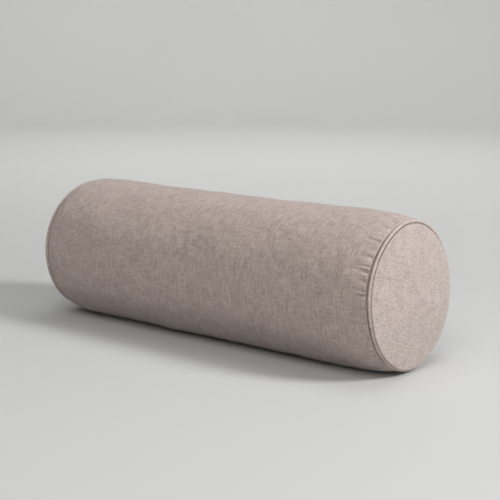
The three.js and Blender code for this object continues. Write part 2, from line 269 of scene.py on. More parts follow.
class Cloth:
    """Places points of the bolster's pieces round its axis, leaned and flattened as it lies."""

    LEAN_FROM = 0.35
    RIGHT_LEAN_UP = 0.044
    RIGHT_LEAN_BACK = 0.03
    LEFT_LEAN_BACK = 0.058
    RIGHT_SAG = 0.017
    RIGHT_RISE = 0.8 * MM
    BROAD_WANDER = 0.45 * MM
    SHORT_WANDER = 0.3 * MM

    def __init__(self, layout: Layout) -> None:
        """Keeps the layout and the directions that the grids turn about.

        Args:
            layout: where the frame puts the bolster.
        """
        self.layout = layout
        self.out = np.array(layout.zip_out)
        self.down = np.array(layout.zip_down)

    def place(self, x: np.ndarray, radius: np.ndarray, angle: np.ndarray) -> np.ndarray:
        """Points from distance along the axis, radius and angle from the zip.

        Args:
            x: distance along the bolster.
            radius: distance from its axis.
            angle: angle from the zip, growing downwards across it.

        Returns:
            An array of points about the bolster's axis.
        """
        x, radius, angle = np.broadcast_arrays(x, radius, angle)
        cross = radius[..., None] * (
            np.cos(angle)[..., None] * self.out + np.sin(angle)[..., None] * self.down
        )
        cross[..., 0] = x
        return cross

    def press(self, points: np.ndarray, inset: float, softness: float = 1.2 * MM) -> np.ndarray:
        """Flattens points where the bolster lies on the floor.

        Args:
            points: points about the axis.
            inset: how far above the floor this layer stays.
            softness: size of the rounding at the flat's edges.

        Returns:
            The pressed points.
        """
        result = points.copy()
        floor = self.layout.axis_z - inset
        result[..., 2] = -soft_limit(-points[..., 2], floor, softness)
        return result

    def press_zip(
        self, points: np.ndarray, limit: float | np.ndarray, softness: float,
    ) -> np.ndarray:
        """Flattens points along the zip, where its tapes stiffen the cloth.

        Args:
            points: points about the axis.
            limit: the most that a point may stand out towards the zip.
            softness: size of the rounding at the flat's edges.

        Returns:
            The pressed points.
        """
        height = points @ self.out
        change = soft_limit(height, limit, softness) - height
        return points + change[..., None] * self.out

    def beside_zip(self, x: np.ndarray, across: np.ndarray, out: np.ndarray) -> np.ndarray:
        """Points of the zip, which keeps its place while the ends of the cover lean.

        Args:
            x: distance along the zip.
            across: distance down from its middle.
            out: distance from the bolster's axis.

        Returns:
            Points in the row frame.
        """
        x, across, out = np.broadcast_arrays(x, across, out)
        points = out[..., None] * self.out + across[..., None] * self.down
        points[..., 0] = x
        points[..., 2] += self.layout.axis_z
        return points

    def settle(self, points: np.ndarray) -> np.ndarray:
        """Leans both ends a little and lifts points from the axis to the floor's frame.

        Args:
            points: points about the axis.

        Returns:
            Points in the row frame.
        """
        result = points.copy()
        along = points[..., 0] / self.layout.seam_x
        share = smoothstep(self.LEAN_FROM, 1.0, along)
        result[..., 0] -= share * (
            self.RIGHT_LEAN_UP * points[..., 2] + self.RIGHT_LEAN_BACK * points[..., 1])
        angle = np.arctan2(points[..., 2], points[..., 1])
        wander = self.BROAD_WANDER * np.cos(3 * angle + 0.7)
        wander = wander + self.SHORT_WANDER * np.cos(5 * angle + 2.0)
        radius = np.hypot(points[..., 1], points[..., 2])
        reach = np.minimum(radius / self.layout.piping_seat, 1) ** 2
        result[..., 0] += smoothstep(0.82, 0.98, np.abs(along)) * reach * wander
        share = smoothstep(self.LEAN_FROM, 1.0, -along)
        result[..., 0] -= share * self.LEFT_LEAN_BACK * points[..., 1]
        near = smoothstep(0.8, 1.0, along)
        result[..., 2] += near * (self.RIGHT_RISE - self.RIGHT_SAG * points[..., 2])
        result[..., 2] += self.layout.axis_z
        return result


def grid_mesh(
    name: str,
    points: np.ndarray,
    uv: np.ndarray,
    wrap: bool = False,
    pole: Vector | None = None,
    flip: bool = False,
) -> bpy.types.Object:
    """Makes a mesh from a grid of points.

    Args:
        name: the piece's name.
        points: rows by columns of points.
        uv: rows by columns of cloth coordinates, with one more column if the grid wraps.
        wrap: whether the last column joins the first.
        pole: a point that closes the last row.
        flip: whether the faces are turned over.

    Returns:
        The new object, with its cloth coordinates in a UV map named cloth.
    """
    rows, columns = points.shape[:2]
    vertices = points.reshape(-1, 3).tolist()
    spans = columns if wrap else columns - 1
    r, c = np.meshgrid(np.arange(rows - 1), np.arange(spans), indexing="ij")
    after = (c + 1) % columns
    here, beyond = r * columns, (r + 1) * columns
    quads = np.stack([here + c, here + after, beyond + after, beyond + c], -1)
    corner_rows = np.stack([r, r, r + 1, r + 1], -1)
    corner_columns = np.stack([c, c + 1, c + 1, c], -1)
    corners = uv[corner_rows, corner_columns]
    faces = quads.reshape(-1, 4)
    loops = corners.reshape(-1, 4, 2)
    if flip:
        faces, loops = faces[:, ::-1], loops[:, ::-1]
    face_list = faces.tolist()
    loop_list = loops.reshape(-1, 2)
    if pole is not None:
        vertices.append(list(pole))
        tip = len(vertices) - 1
        base = (rows - 1) * columns
        centre = uv[-1, :columns].mean(0)
        extra = []
        for column in range(spans):
            fan = [base + column, base + (column + 1) % columns, tip]
            fan_uv = [uv[-1, column], uv[-1, column + 1], centre]
            face_list.append(fan[::-1] if flip else fan)
            extra.extend(fan_uv[::-1] if flip else fan_uv)
        loop_list = np.concatenate([loop_list, np.array(extra)])
    mesh = bpy.data.meshes.new(name)
    mesh.from_pydata(vertices, [], face_list)
    layer = mesh.uv_layers.new(name="cloth")
    layer.data.foreach_set("uv", np.ascontiguousarray(loop_list, dtype=np.float32).ravel())
    mesh.shade_smooth()
    return linked(name, mesh)


def thicken(piece: bpy.types.Object, thickness: float) -> None:
    """Gives a sheet its thickness, half to each side.

    Args:
        piece: the sheet.
        thickness: the cloth's thickness in metres.
    """
    solidify = piece.modifiers.new("thickness", "SOLIDIFY")
    solidify.thickness = thickness
    solidify.offset = 0
    solidify.use_even_offset = False


def arc_length(profile: np.ndarray) -> np.ndarray:
    """Distance along an outline of points.

    Args:
        profile: points in order.

    Returns:
        The distance of each point from the first.
    """
    steps = np.linalg.norm(np.diff(profile, axis=0), axis=1)
    return np.concatenate([[0], np.cumsum(steps)])


def evenly(profile: np.ndarray, spacing: Callable[[float], float]) -> np.ndarray:
    """Places points along an outline at a spacing that may vary.

    Args:
        profile: a fine outline.
        spacing: the spacing wanted at each distance along it.

    Returns:
        The outline with its new points, from the same start to the same end.
    """
    length = arc_length(profile)
    places = [0.0]
    while places[-1] < length[-1]:
        places.append(places[-1] + spacing(places[-1]))
    stations = np.array(places) * (length[-1] / places[-1])
    return np.stack([np.interp(stations, length, profile[:, k]) for k in range(2)], axis=1)


# Finishes


class Shader:
    """A material's node tree, with short calls for the nodes that cloth needs."""

    def __init__(self, name: str) -> None:
        """Starts a material with a Principled surface."""
        self.material = bpy.data.materials.new(name)
        self.material.use_nodes = True
        self.nodes = self.material.node_tree.nodes
        self.links = self.material.node_tree.links
        self.surface = self.nodes["Principled BSDF"]

    def set(self, **values: object) -> None:
        """Sets plain values on the surface's own sockets, with underscores for spaces."""
        for key, value in values.items():
            self.surface.inputs[key.replace("_", " ")].default_value = value

    def feed(self, socket: str, source: bpy.types.NodeSocket) -> None:
        """Links a source into one of the surface's sockets."""
        self.links.new(source, self.surface.inputs[socket])

    def _take(self, node: bpy.types.Node, index: int, value: object) -> None:
        """Links or sets one input of a node.

        Args:
            node: the node.
            index: which input.
            value: a socket to link, a value to set, or None to leave it alone.
        """
        if isinstance(value, bpy.types.NodeSocket):
            self.links.new(value, node.inputs[index])
        elif value is not None:
            node.inputs[index].default_value = value

    def math(
        self, operation: str, first: object, second: object = None, third: object = None,
    ) -> bpy.types.NodeSocket:
        """One Math node on up to three values.

        Args:
            operation: what the node does.
            first: its first value or source.
            second: its second, if it takes one.
            third: its third, if it takes one.

        Returns:
            The node's output.
        """
        node = self.nodes.new("ShaderNodeMath")
        node.operation = operation
        for index, value in enumerate((first, second, third)):
            self._take(node, index, value)
        return node.outputs[0]

    def cloth_coordinates(self) -> bpy.types.NodeSocket:
        """The piece's cloth coordinates, in metres.

        Returns:
            The output of the UV map.
        """
        node = self.nodes.new("ShaderNodeUVMap")
        node.uv_map = "cloth"
        return node.outputs[0]

    def object_coordinates(self) -> bpy.types.NodeSocket:
        """The place on the object, in metres."""
        return self.nodes.new("ShaderNodeTexCoord").outputs["Object"]

    def clamped(self, value: bpy.types.NodeSocket) -> bpy.types.NodeSocket:
        """A value held between 0 and 1.

        Args:
            value: the source.

        Returns:
            The held value.
        """
        node = self.nodes.new("ShaderNodeClamp")
        self.links.new(value, node.inputs[0])
        return node.outputs[0]

    def scaled(
        self, vector: bpy.types.NodeSocket, scale: Sequence[float], turn: float = 0.0,
    ) -> bpy.types.NodeSocket:
        """A vector turned about Z and then scaled on each axis.

        Args:
            vector: the source.
            scale: how much it grows on each axis.
            turn: the turn in radians.

        Returns:
            The new vector.
        """
        spin = self.nodes.new("ShaderNodeMapping")
        self.links.new(vector, spin.inputs["Vector"])
        spin.inputs["Rotation"].default_value = (0, 0, turn)
        node = self.nodes.new("ShaderNodeMapping")
        self.links.new(spin.outputs[0], node.inputs["Vector"])
        node.inputs["Scale"].default_value = tuple(scale)
        return node.outputs[0]

    def split(self, vector: bpy.types.NodeSocket) -> tuple[bpy.types.NodeSocket, ...]:
        """The three parts of a vector.

        Args:
            vector: the source.

        Returns:
            Its X, Y and Z.
        """
        node = self.nodes.new("ShaderNodeSeparateXYZ")
        self.links.new(vector, node.inputs[0])
        return tuple(node.outputs)

    def noise(
        self, vector: bpy.types.NodeSocket, detail: float = 2.0, roughness: float = 0.5,
    ) -> bpy.types.NodeSocket:
        """Noise of one unit's size on a scaled vector, as a value about one half.

        Args:
            vector: the scaled place.
            detail: how many finer layers it has.
            roughness: how strong each finer layer is.

        Returns:
            The noise.
        """
        node = self.nodes.new("ShaderNodeTexNoise")
        self.links.new(vector, node.inputs["Vector"])
        node.inputs["Scale"].default_value = 1.0
        node.inputs["Detail"].default_value = detail
        node.inputs["Roughness"].default_value = roughness
        return node.outputs[0]

    def mix(
        self, factor: bpy.types.NodeSocket, first: Sequence[float], second: Sequence[float],
    ) -> bpy.types.NodeSocket:
        """A colour between two colours.

        Args:
            factor: 0 for the first and 1 for the second.
            first: the first colour.
            second: the second colour.

        Returns:
            The mixed colour.
        """
        node = self.nodes.new("ShaderNodeMix")
        node.data_type = "RGBA"
        self.links.new(factor, node.inputs[0])
        node.inputs[6].default_value = (*first, 1)
        node.inputs[7].default_value = (*second, 1)
        return node.outputs[2]

    def bump(self, height: bpy.types.NodeSocket, distance: float) -> None:
        """Bumps the surface by a height that is scaled to a distance in metres.

        Args:
            height: the height, in units.
            distance: what one unit stands for, in metres.
        """
        node = self.nodes.new("ShaderNodeBump")
        node.inputs["Strength"].default_value = 1.0
        node.inputs["Distance"].default_value = distance
        self.links.new(height, node.inputs["Height"])
        self.feed("Normal", node.outputs[0])


@dataclass(frozen=True)
class Linen:
    """Stone-washed slub linen: plain weave, uneven yarns and a clouded wash."""

    name: str = "washed_linen"
    dark: tuple[float, float, float] = (0.245, 0.186, 0.160)
    light: tuple[float, float, float] = (0.60, 0.503, 0.462)
    pitch: float = 0.8 * MM
    grain_turn: float = 0.0
    streak: float = 1.0
    mottle: float = 1.3

    def build(self) -> bpy.types.Material:
        """Makes the material.

        Returns:
            The linen material, which reads the cloth coordinates.
        """
        shader = Shader(self.name)
        cloth = shader.cloth_coordinates()

        def streaks(across: float, along: float, detail: float) -> bpy.types.NodeSocket:
            """Noise in streaks.

            Args:
                across: size of a streak across the cloth, in millimetres.
                along: size of a streak along the cloth, in millimetres.
                detail: how many finer layers it has.

            Returns:
                The noise.
            """
            scale = (1 / (across * MM), 1 / (along * MM), 1)
            return shader.noise(shader.scaled(cloth, scale, self.grain_turn), detail, 0.6)

        long_yarns = streaks(2.1, 16, 2)
        round_yarns = streaks(18, 2.0, 2)
        nubs = streaks(3.4, 2.8, 3)
        slubs_round = streaks(15, 2.6, 1)
        slubs_long = streaks(2.8, 13, 1)
        clouds = streaks(15, 19, 3)
        wash = streaks(60, 80, 2)
        tone = 0.5
        weights = (
            (long_yarns, 0.42 * self.streak), (round_yarns, 0.62 * self.streak),
            (nubs, 0.52 * self.mottle), (slubs_round, 0.5 * self.streak),
            (slubs_long, 0.36 * self.streak), (clouds, 0.24 * self.mottle), (wash, 0.16),
        )
        for value, weight in weights:
            tone = shader.math("MULTIPLY_ADD", value, weight, shader.math("SUBTRACT", tone, weight / 2))
        shader.feed("Base Color", shader.mix(shader.clamped(tone), self.dark, self.light))
        half_turns = (math.pi / self.pitch, math.pi / self.pitch, 1)
        u, v, _ = shader.split(shader.scaled(cloth, half_turns, self.grain_turn))
        warp = shader.math("SINE", u)
        weft = shader.math("SINE", v)
        over = shader.math("MULTIPLY", warp, weft)
        ribs = shader.math("ADD", shader.math("ABSOLUTE", warp), shader.math("ABSOLUTE", weft))
        weave = shader.math("MULTIPLY_ADD", over, 0.35, shader.math("MULTIPLY", ribs, 0.3))
        yarns = shader.math("ADD", long_yarns, round_yarns)
        lumps = shader.math("MULTIPLY_ADD", nubs, 1.6, shader.math("ADD", slubs_round, slubs_long))
        height = shader.math("ADD", weave, shader.math("MULTIPLY_ADD", yarns, 0.9, lumps))
        shader.bump(height, 0.13 * MM)
        shader.feed("Roughness", shader.math("MULTIPLY_ADD", nubs, 0.16, 0.8))
        shader.set(Specular_IOR_Level=0.25, Sheen_Weight=0.16, Sheen_Roughness=0.45)
        return shader.material


@dataclass(frozen=True)
class Fibre:
    """Cord, thread, wadding, calico, tape and foam: a mottled matt surface with a fine grain."""

    name: str
    dark: tuple[float, float, float]
    light: tuple[float, float, float]
    grain: tuple[float, float, float]
    depth: float
    roughness: float = 0.85
    sheen: float = 0.1
    clouds: float = 12 * MM

    def build(self) -> bpy.types.Material:
        """Makes the material.

        Returns:
            The material, which reads the place on the object.
        """
        shader = Shader(self.name)
        place = shader.object_coordinates()
        fine = shader.noise(shader.scaled(place, [1 / size for size in self.grain]), 3, 0.6)
        broad = shader.noise(shader.scaled(place, [1 / self.clouds] * 3), 2)
        tone = shader.math("MULTIPLY_ADD", fine, 0.9, shader.math("MULTIPLY_ADD", broad, 0.5, -0.2))
        shader.feed("Base Color", shader.mix(shader.clamped(tone), self.dark, self.light))
        shader.feed("Roughness", shader.math("MULTIPLY_ADD", fine, 0.2, self.roughness - 0.1))
        shader.bump(fine, self.depth)
        shader.set(Sheen_Weight=self.sheen, Sheen_Roughness=0.5, Specular_IOR_Level=0.3)
        return shader.material


@dataclass(frozen=True)
class Enamel:
    """Enamelled zinc: satin paint, a little orange peel and rub marks down to the metal."""

    name: str = "taupe_enamel"
    paint: tuple[float, float, float] = (0.26, 0.205, 0.178)
    rubbed: tuple[float, float, float] = (0.5, 0.46, 0.42)

    def build(self) -> bpy.types.Material:
        """Makes the material.

        Returns:
            The enamel material, which reads the place on the object.
        """
        shader = Shader(self.name)
        place = shader.object_coordinates()
        peel = shader.noise(shader.scaled(place, [1 / (0.7 * MM)] * 3), 2)
        rub = shader.noise(shader.scaled(place, [1 / (3 * MM)] * 3), 4, 0.65)
        worn = shader.math("MULTIPLY", shader.math("SUBTRACT", rub, 0.6), 6.0)
        metal = shader.clamped(worn)
        shader.feed("Base Color", shader.mix(metal, self.paint, self.rubbed))
        shader.feed("Metallic", metal)
        shader.feed("Roughness", shader.math("MULTIPLY_ADD", rub, 0.25, 0.22))
        shader.bump(peel, 0.02 * MM)
        shader.set(Coat_Weight=0.3, Coat_Roughness=0.2)
        return shader.material


class Slot(Enum):
    """The record's material slots."""

    LINEN = "linen"
    CORD = "cord"
    THREAD = "thread"
    TAPE = "zip_tape"
    COIL = "zip_coil"
    METAL = "zip_metal"
    CALICO = "calico"
    WADDING = "wadding"
    FOAM = "foam"


FINISHES = {
    Slot.CORD: Fibre("cotton_cord", (0.62, 0.57, 0.47), (0.86, 0.82, 0.72), (0.5 * MM,) * 3, 0.12 * MM),
    Slot.THREAD: Fibre("sewing_thread", (0.24, 0.19, 0.165), (0.42, 0.35, 0.31), (0.2 * MM,) * 3, 0.05 * MM),
    Slot.TAPE: Fibre(
        "zip_tape", (0.27, 0.22, 0.19), (0.42, 0.35, 0.31), (0.6 * MM, 0.3 * MM, 0.3 * MM), 0.08 * MM),
    Slot.COIL: Fibre(
        "nylon_coil", (0.25, 0.2, 0.175), (0.36, 0.3, 0.265), (0.4 * MM,) * 3, 0.01 * MM, 0.42, 0.0),
    Slot.CALICO: Fibre("calico", (0.66, 0.6, 0.47), (0.87, 0.82, 0.7), (0.7 * MM,) * 3, 0.1 * MM),
    Slot.WADDING: Fibre(
        "wadding", (0.78, 0.78, 0.76), (0.93, 0.93, 0.91), (2.4 * MM,) * 3, 0.8 * MM, 0.95, 0.3),
    Slot.FOAM: Fibre("foam", (0.66, 0.6, 0.42), (0.88, 0.84, 0.68), (0.9 * MM,) * 3, 0.35 * MM, 0.95, 0.0),
}


class Wardrobe:
    """Holds each finish's material and puts it on a piece."""

    def __init__(self) -> None:
        """Builds every material once."""
        self.materials = {slot: finish.build() for slot, finish in FINISHES.items()}
        self.materials[Slot.LINEN] = Linen().build()
        self.materials[Slot.METAL] = Enamel().build()
        # Bias-cut linen for the piping, its colours lighter than the barrel linen: a painted highlight along
        # the piping ridge.
        self.bias_linen = Linen(
            name="bias_linen", dark=(0.27, 0.209, 0.182), light=(0.65, 0.555, 0.508),
            grain_turn=math.radians(45),
        ).build()
        # End linen: its own turned grain and softer streaks, and colours paler and less warm than the barrel
        # linen, which paint the key light falling on the ends.
        self.end_linen = Linen(
            name="end_linen", dark=(0.245, 0.19, 0.167), light=(0.60, 0.52, 0.487),
            grain_turn=math.radians(-33), streak=0.72, mottle=1.9,
        ).build()

    def dress(
        self, piece: bpy.types.Object, slot: Slot, body: str, nodes: Sequence[str],
        material: bpy.types.Material | None = None,
    ) -> bpy.types.Object:
        """Gives a piece its material, its body and the CAD nodes that it stands for.

        Args:
            piece: the finished piece.
            slot: the record's slot that it takes its finish from.
            body: the body that it rides on.
            nodes: the CAD nodes that it replaces.
            material: a variant of the slot's material.

        Returns:
            The same piece.
        """
        piece.data.materials.clear()
        piece.data.materials.append(material or self.materials[slot])
        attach(piece, body)
        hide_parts(*nodes)
        LOG.info("%s rides on %s for %s", piece.name, body, ", ".join(nodes))
        return piece


# The cover's end seams and its soft relief


@dataclass
class Relief:
    """How far the stuffed cloth stands out from, or sinks below, its plain turned shape."""

    layout: Layout
    ripple: Ripple = field(init=False)
    fine: Ripple = field(init=False)

    def __post_init__(self) -> None:
        """Makes the broad and the small unevenness of the filling."""
        girth = TAU * self.layout.radius
        self.ripple = Ripple(0.62 * MM, 70 * MM, 210 * MM, girth, seed=11)
        self.fine = Ripple(0.2 * MM, 18 * MM, 60 * MM, girth, waves=34, seed=12)

    def soft(self, angle: np.ndarray, along: np.ndarray) -> np.ndarray:
        """Broad relief that the cover and its insert share.

        Args:
            angle: angle from the zip.
            along: place along the bolster.

        Returns:
            Heights in metres.
        """
        total = self.ripple.at(angle, along)
        up = math.pi / 2 + math.atan2(self.layout.zip_out.z, self.layout.zip_out.y)
        bumps = (
            (1.7 * MM, -205 * MM, -up, 45 * MM, 0.8),
            (-1.5 * MM, 5 * MM, -up, 95 * MM, 0.9),
            (1.5 * MM, 205 * MM, 1.9, 40 * MM, 0.55),
            (0.7 * MM, -90 * MM, 2.6, 60 * MM, 0.5),
        )
        for height, x, centre, reach, spread in bumps:
            swirl = (angle - centre + math.pi) % TAU - math.pi
            total = total + height * np.exp(-(((along - x) / reach) ** 2) - (swirl / spread) ** 2)
        return total

    def cover(
        self, angle: np.ndarray, along: np.ndarray, from_seam: np.ndarray, dents: np.ndarray,
    ) -> np.ndarray:
        """Full relief of the barrel cloth.

        Args:
            angle: angle from the zip.
            along: place along the bolster.
            from_seam: distance along the cloth from the nearer end seam.
            dents: height of the seam's puckers at each place.

        Returns:
            Heights in metres, none inside the seam.
        """
        free = smoothstep(0, 26 * MM, from_seam)
        held = smoothstep(0, 3 * MM, from_seam)
        return free * self.soft(angle, along) + held * (self.fine.at(angle, along) * free + dents)


@dataclass
class Filling:
    """Cloth simulation of the barrel cloth: stuffing presses it out against its gathered end seams."""

    cloth: Cloth
    pressure: float = 2.0
    frames: int = 20
    ease: float = 0.26
    ease_reach: float = 20 * MM
    start_share: float = 0.996
    cap: float = 2.6 * MM
    held: float = 1.0 * MM
    mass: float = 0.01
    bending: float = 0.3
    stiffness: float = 15.0

    def simulate(
        self, x: np.ndarray, radius: np.ndarray, from_seam: np.ndarray, dents: np.ndarray,
    ) -> np.ndarray:
        """Runs the cloth on a closed drum and reads how far each point ends from where it began.

        Args:
            x: distance along the axis of each row, from one seam to the other.
            radius: each row's radius.
            from_seam: each row's distance from its seam along the cloth.
            dents: rows by columns of the puckers that the gathers start from.

        Returns:
            Rows by columns of movement: outwards, and along the bolster.
        """
        rng = np.random.default_rng(5)
        columns = dents.shape[1]
        angle = round_angles(columns)
        free = smoothstep(self.held, 30 * MM, from_seam)
        shrink = 1 - (1 - self.start_share) * free
        tremble = rng.normal(0, 0.04 * MM, (len(x), columns)) * (from_seam > self.held)[:, None]
        begin = radius[:, None] * shrink[:, None] + tremble + dents
        start = self.cloth.place(x[:, None], begin, angle[None, :])
        uneven = Ripple(0.5, 25 * MM, 120 * MM, TAU * self.cloth.layout.radius, waves=30, seed=6)
        share = np.clip(0.6 + 0.5 * uneven.at(angle[None, :], x[:, None]), 0.05, 1.0)
        spare = np.exp(-((from_seam / self.ease_reach) ** 2))[:, None] * share
        rows = len(x)
        vertices = start.reshape(-1, 3).tolist() + [[x[0], 0, 0], [x[-1], 0, 0]]
        r, c = np.meshgrid(np.arange(rows - 1), np.arange(columns), indexing="ij")
        after = (c + 1) % columns
        here, beyond = r * columns, (r + 1) * columns
        quads = np.stack([here + c, beyond + c, beyond + after, here + after], -1)
        faces = quads.reshape(-1, 4).tolist()
        last = (rows - 1) * columns
        for k in range(columns):
            n = (k + 1) % columns
            faces.append([k, n, rows * columns])
            faces.append([last + n, last + k, rows * columns + 1])
        mesh = bpy.data.meshes.new("stuffing")
        mesh.from_pydata(vertices, [], faces)
        drum = linked("stuffing", mesh)
        pinned = drum.vertex_groups.new(name="pinned")
        seam_rows = np.nonzero(from_seam <= self.held)[0]
        fixed = [int(row * columns + k) for row in seam_rows for k in range(columns)]
        pinned.add(fixed + [rows * columns, rows * columns + 1], 1.0, "REPLACE")
        gathered = drum.vertex_groups.new(name="gathered")
        for index, amount in enumerate(spare.ravel()):
            if amount > 0.01:
                gathered.add([index], float(amount), "REPLACE")
        modifier = drum.modifiers.new("cloth", "CLOTH")
        settings = modifier.settings
        settings.quality = 5
        settings.mass = self.mass
        settings.tension_stiffness = self.stiffness
        settings.compression_stiffness = self.stiffness
        settings.shear_stiffness = 5
        settings.bending_stiffness = self.bending
        settings.use_pressure = True
        settings.uniform_pressure_force = self.pressure
        settings.vertex_group_mass = "pinned"
        settings.vertex_group_shrink = "gathered"
        settings.shrink_min = 0.0
        settings.shrink_max = -self.ease
        settings.effector_weights.gravity = 0
        modifier.collision_settings.use_collision = False
        modifier.point_cache.frame_start = 1
        modifier.point_cache.frame_end = self.frames
        scene = bpy.context.scene
        scene.frame_end = self.frames
        for frame_number in range(1, self.frames + 1):
            scene.frame_set(frame_number)
        shown = drum.evaluated_get(bpy.context.evaluated_depsgraph_get()).to_mesh()
        ended = np.zeros(len(shown.vertices) * 3, np.float32)
        shown.vertices.foreach_get("co", ended)
        bpy.data.objects.remove(drum)
        scene.frame_set(1)
        moved = ended.reshape(-1, 3)[: rows * columns].reshape(rows, columns, 3).astype(float)
        outwards = np.linalg.norm(moved[..., 1:], axis=-1) - begin
        sideways = moved[..., 0] - x[:, None]
        movement = np.stack([outwards, sideways], -1)
        movement[..., 0] -= np.mean(movement[..., 0], axis=1, keepdims=True) * free[:, None]
        size = np.linalg.norm(movement, axis=-1, keepdims=True)
        return movement * np.minimum(1, self.cap / np.maximum(size, 1e-9))


@dataclass
class BarrelCover:
    """The barrel cloth: one panel round the bolster, its long edges folded in at the zip."""

    cloth: Cloth
    wardrobe: Wardrobe
    relief: Relief
    columns: int = 576
    stuffed_columns: int = 384
    shoulder_start: float = 239 * MM
    seam_face: float = 1.65 * MM
    wrap: float = 4.0 * MM
    fold: float = 0.55 * MM
    lip: float = 12 * MM
    end_lip: float = 4 * MM
    slit: float = 1.2 * MM
    closed_slit: float = 0.42 * MM
    zip_flat: float = 97.6 * MM

    def half_outline(self) -> np.ndarray:
        """Half of the cloth's section, from its middle to its raw edge at the right seam.

        Returns:
            Points of distance along the axis and radius, close together.
        """
        layout = self.cloth.layout
        seam, seat = layout.seam_x, layout.piping_seat
        radius = layout.radius - layout.linen / 2
        straight = [(self.shoulder_start * k / 200, radius) for k in range(200)]
        turn = np.linspace(0, math.pi / 2, 400)
        reach = seam - self.wrap - self.shoulder_start
        bend = [
            (self.shoulder_start + reach * math.sin(t), seat + (radius - seat) * math.cos(t))
            for t in turn
        ]
        last = math.pi + math.acos(self.seam_face / self.wrap)
        tuck = [
            (seam + self.wrap * math.cos(t), seat + self.wrap * math.sin(t))
            for t in np.linspace(math.pi, last, 60)[1:]
        ]
        raw = [(seam - self.seam_face, r) for r in np.linspace(tuck[-1][1], layout.raw_edge, 30)[1:]]
        return np.array(straight + bend + tuck + raw)

    def stations(self) -> tuple[np.ndarray, np.ndarray, np.ndarray]:
        """Rows of the cloth from the left raw edge to the right one.

        Returns:
            The section's points, the place of each along the cloth, and its distance from the seam.
        """
        layout = self.cloth.layout
        half = self.half_outline()
        total = arc_length(half)
        off_seam = np.abs(half[:, 1] - layout.piping_seat) + (half[:, 0] < self.shoulder_start)
        seam = total[np.argmin(off_seam)]

        def spacing(place: float) -> float:
            """Spacing of the rows at a place along the cloth, closest at the seam."""
            away = abs(seam - place)
            if away < 3 * MM:
                return 0.8 * MM
            return 1.5 * MM if away < 24 * MM else min(1.5 * MM + (away - 24 * MM) * 0.05, 5.5 * MM)

        backwards = evenly(half[::-1], lambda s: spacing(total[-1] - s))
        right = backwards[::-1]
        length = arc_length(right)
        seam = np.interp(layout.seam_x - self.wrap, right[:, 0], length)
        along = np.concatenate([-length[:0:-1], length])
        return mirrored(right), along, seam - np.abs(along)

    def build(self) -> bpy.types.Object:
        """Makes the barrel cloth, with its fold, allowances, puckers and flats.

        Returns:
            The finished piece.
        """
        layout = self.cloth.layout
        outline, along, from_seam = self.stations()
        tangent = np.gradient(outline, axis=0)
        tangent /= np.linalg.norm(tangent, axis=1)[:, None]
        normal = np.stack([-tangent[:, 1], tangent[:, 0]], 1)
        x, radius = outline[:, 0], outline[:, 1]
        gap = self.closed_slit + (self.slit - self.closed_slit) * (
            1 - smoothstep(layout.zip_half, layout.zip_half + 5 * MM, np.abs(x)))
        lip = self.lip - (self.lip - self.end_lip) * smoothstep(
            layout.tape_half, layout.tape_half + 8 * MM, np.abs(x))
        edge_out = [(share, 2 * self.fold) for share in (1.0, 0.75, 0.5, 0.25)]
        turn = np.linspace(-math.pi / 2, math.pi / 2, 6)
        across, depth = [], []
        for share, sunk in edge_out:
            across.append(gap + self.fold + share * lip)
            depth.append(np.full_like(x, sunk))
        for t in turn:
            across.append(gap + self.fold - self.fold * math.cos(t))
            depth.append(np.full_like(x, self.fold - self.fold * math.sin(t)))
        inner = np.stack(across, 1) / layout.radius
        sunk = np.stack(depth, 1)
        start = inner[:, -1:]
        steps = np.arange(1, self.columns) / self.columns
        middle = start + (TAU - 2 * start) * steps[None, :]
        angle = np.concatenate([inner, middle, TAU - inner[:, ::-1]], 1)
        sunk = np.concatenate([sunk, np.zeros_like(middle), sunk[:, ::-1]], 1)
        shown = np.clip(angle, start, TAU - start)
        dents = self.dents(shown, x[:, None], from_seam[:, None])
        height = self.relief.cover(shown, along[:, None], from_seam[:, None], dents)
        movement = self.stuffed(outline, along, from_seam, shown)
        offset = height - sunk + movement[..., 0]
        row_x = x[:, None] + normal[:, :1] * offset + movement[..., 1]
        row_r = radius[:, None] + normal[:, 1:] * offset
        points = self.cloth.place(row_x, row_r, angle)
        points = self.cloth.press_zip(points, self.zip_flat - sunk, 0.5 * MM)
        points = self.cloth.press(points, layout.linen / 2 + 0.05 * MM)
        points = self.cloth.settle(points)
        unrolled = arc_length(np.stack([angle[0], np.zeros(angle.shape[1])], 1)) * layout.radius
        uv = np.stack(np.broadcast_arrays(unrolled[None, :], along[:, None]), -1)
        piece = grid_mesh("barrel_cover", points, uv, flip=True)
        thicken(piece, layout.linen)
        self.wardrobe.dress(piece, Slot.LINEN, "pillow", ["barrel_panel"])
        return piece

    def stuffed(
        self, outline: np.ndarray, along: np.ndarray, from_seam: np.ndarray, angle: np.ndarray,
    ) -> np.ndarray:
        """How far the stuffing moves the cloth, read from the simulation on fewer rows and columns.

        Args:
            outline: the section's points.
            along: place of each along the cloth.
            from_seam: distance of each from its seam.
            angle: angle of every point of the finished cloth.

        Returns:
            Movement outwards and along the bolster at every point.
        """
        movement = np.zeros((*angle.shape, 2))
        free = np.nonzero(from_seam > -0.2 * MM)[0]
        rows = [free[0]]
        for row in free[1:]:
            want = 1.4 * MM if from_seam[row] < 30 * MM else 9 * MM
            if along[row] - along[rows[-1]] >= want or row == free[-1]:
                rows.append(row)
        rows = np.array(rows)
        turn = round_angles(self.stuffed_columns)
        dents = self.dents(turn[None, :], outline[rows, :1], from_seam[rows][:, None])
        dents = dents * smoothstep(0, 3 * MM, from_seam[rows])[:, None]
        found = Filling(self.cloth).simulate(
            outline[rows, 0], outline[rows, 1], from_seam[rows], dents)
        for part in range(2):
            columns = np.stack([
                np.interp(along, along[rows], found[:, column, part])
                for column in range(self.stuffed_columns)
            ], 1)
            for row in free:
                movement[row, :, part] = np.interp(angle[row], turn, columns[row], period=TAU)
        return movement * smoothstep(0, 2 * MM, from_seam)[:, None, None]

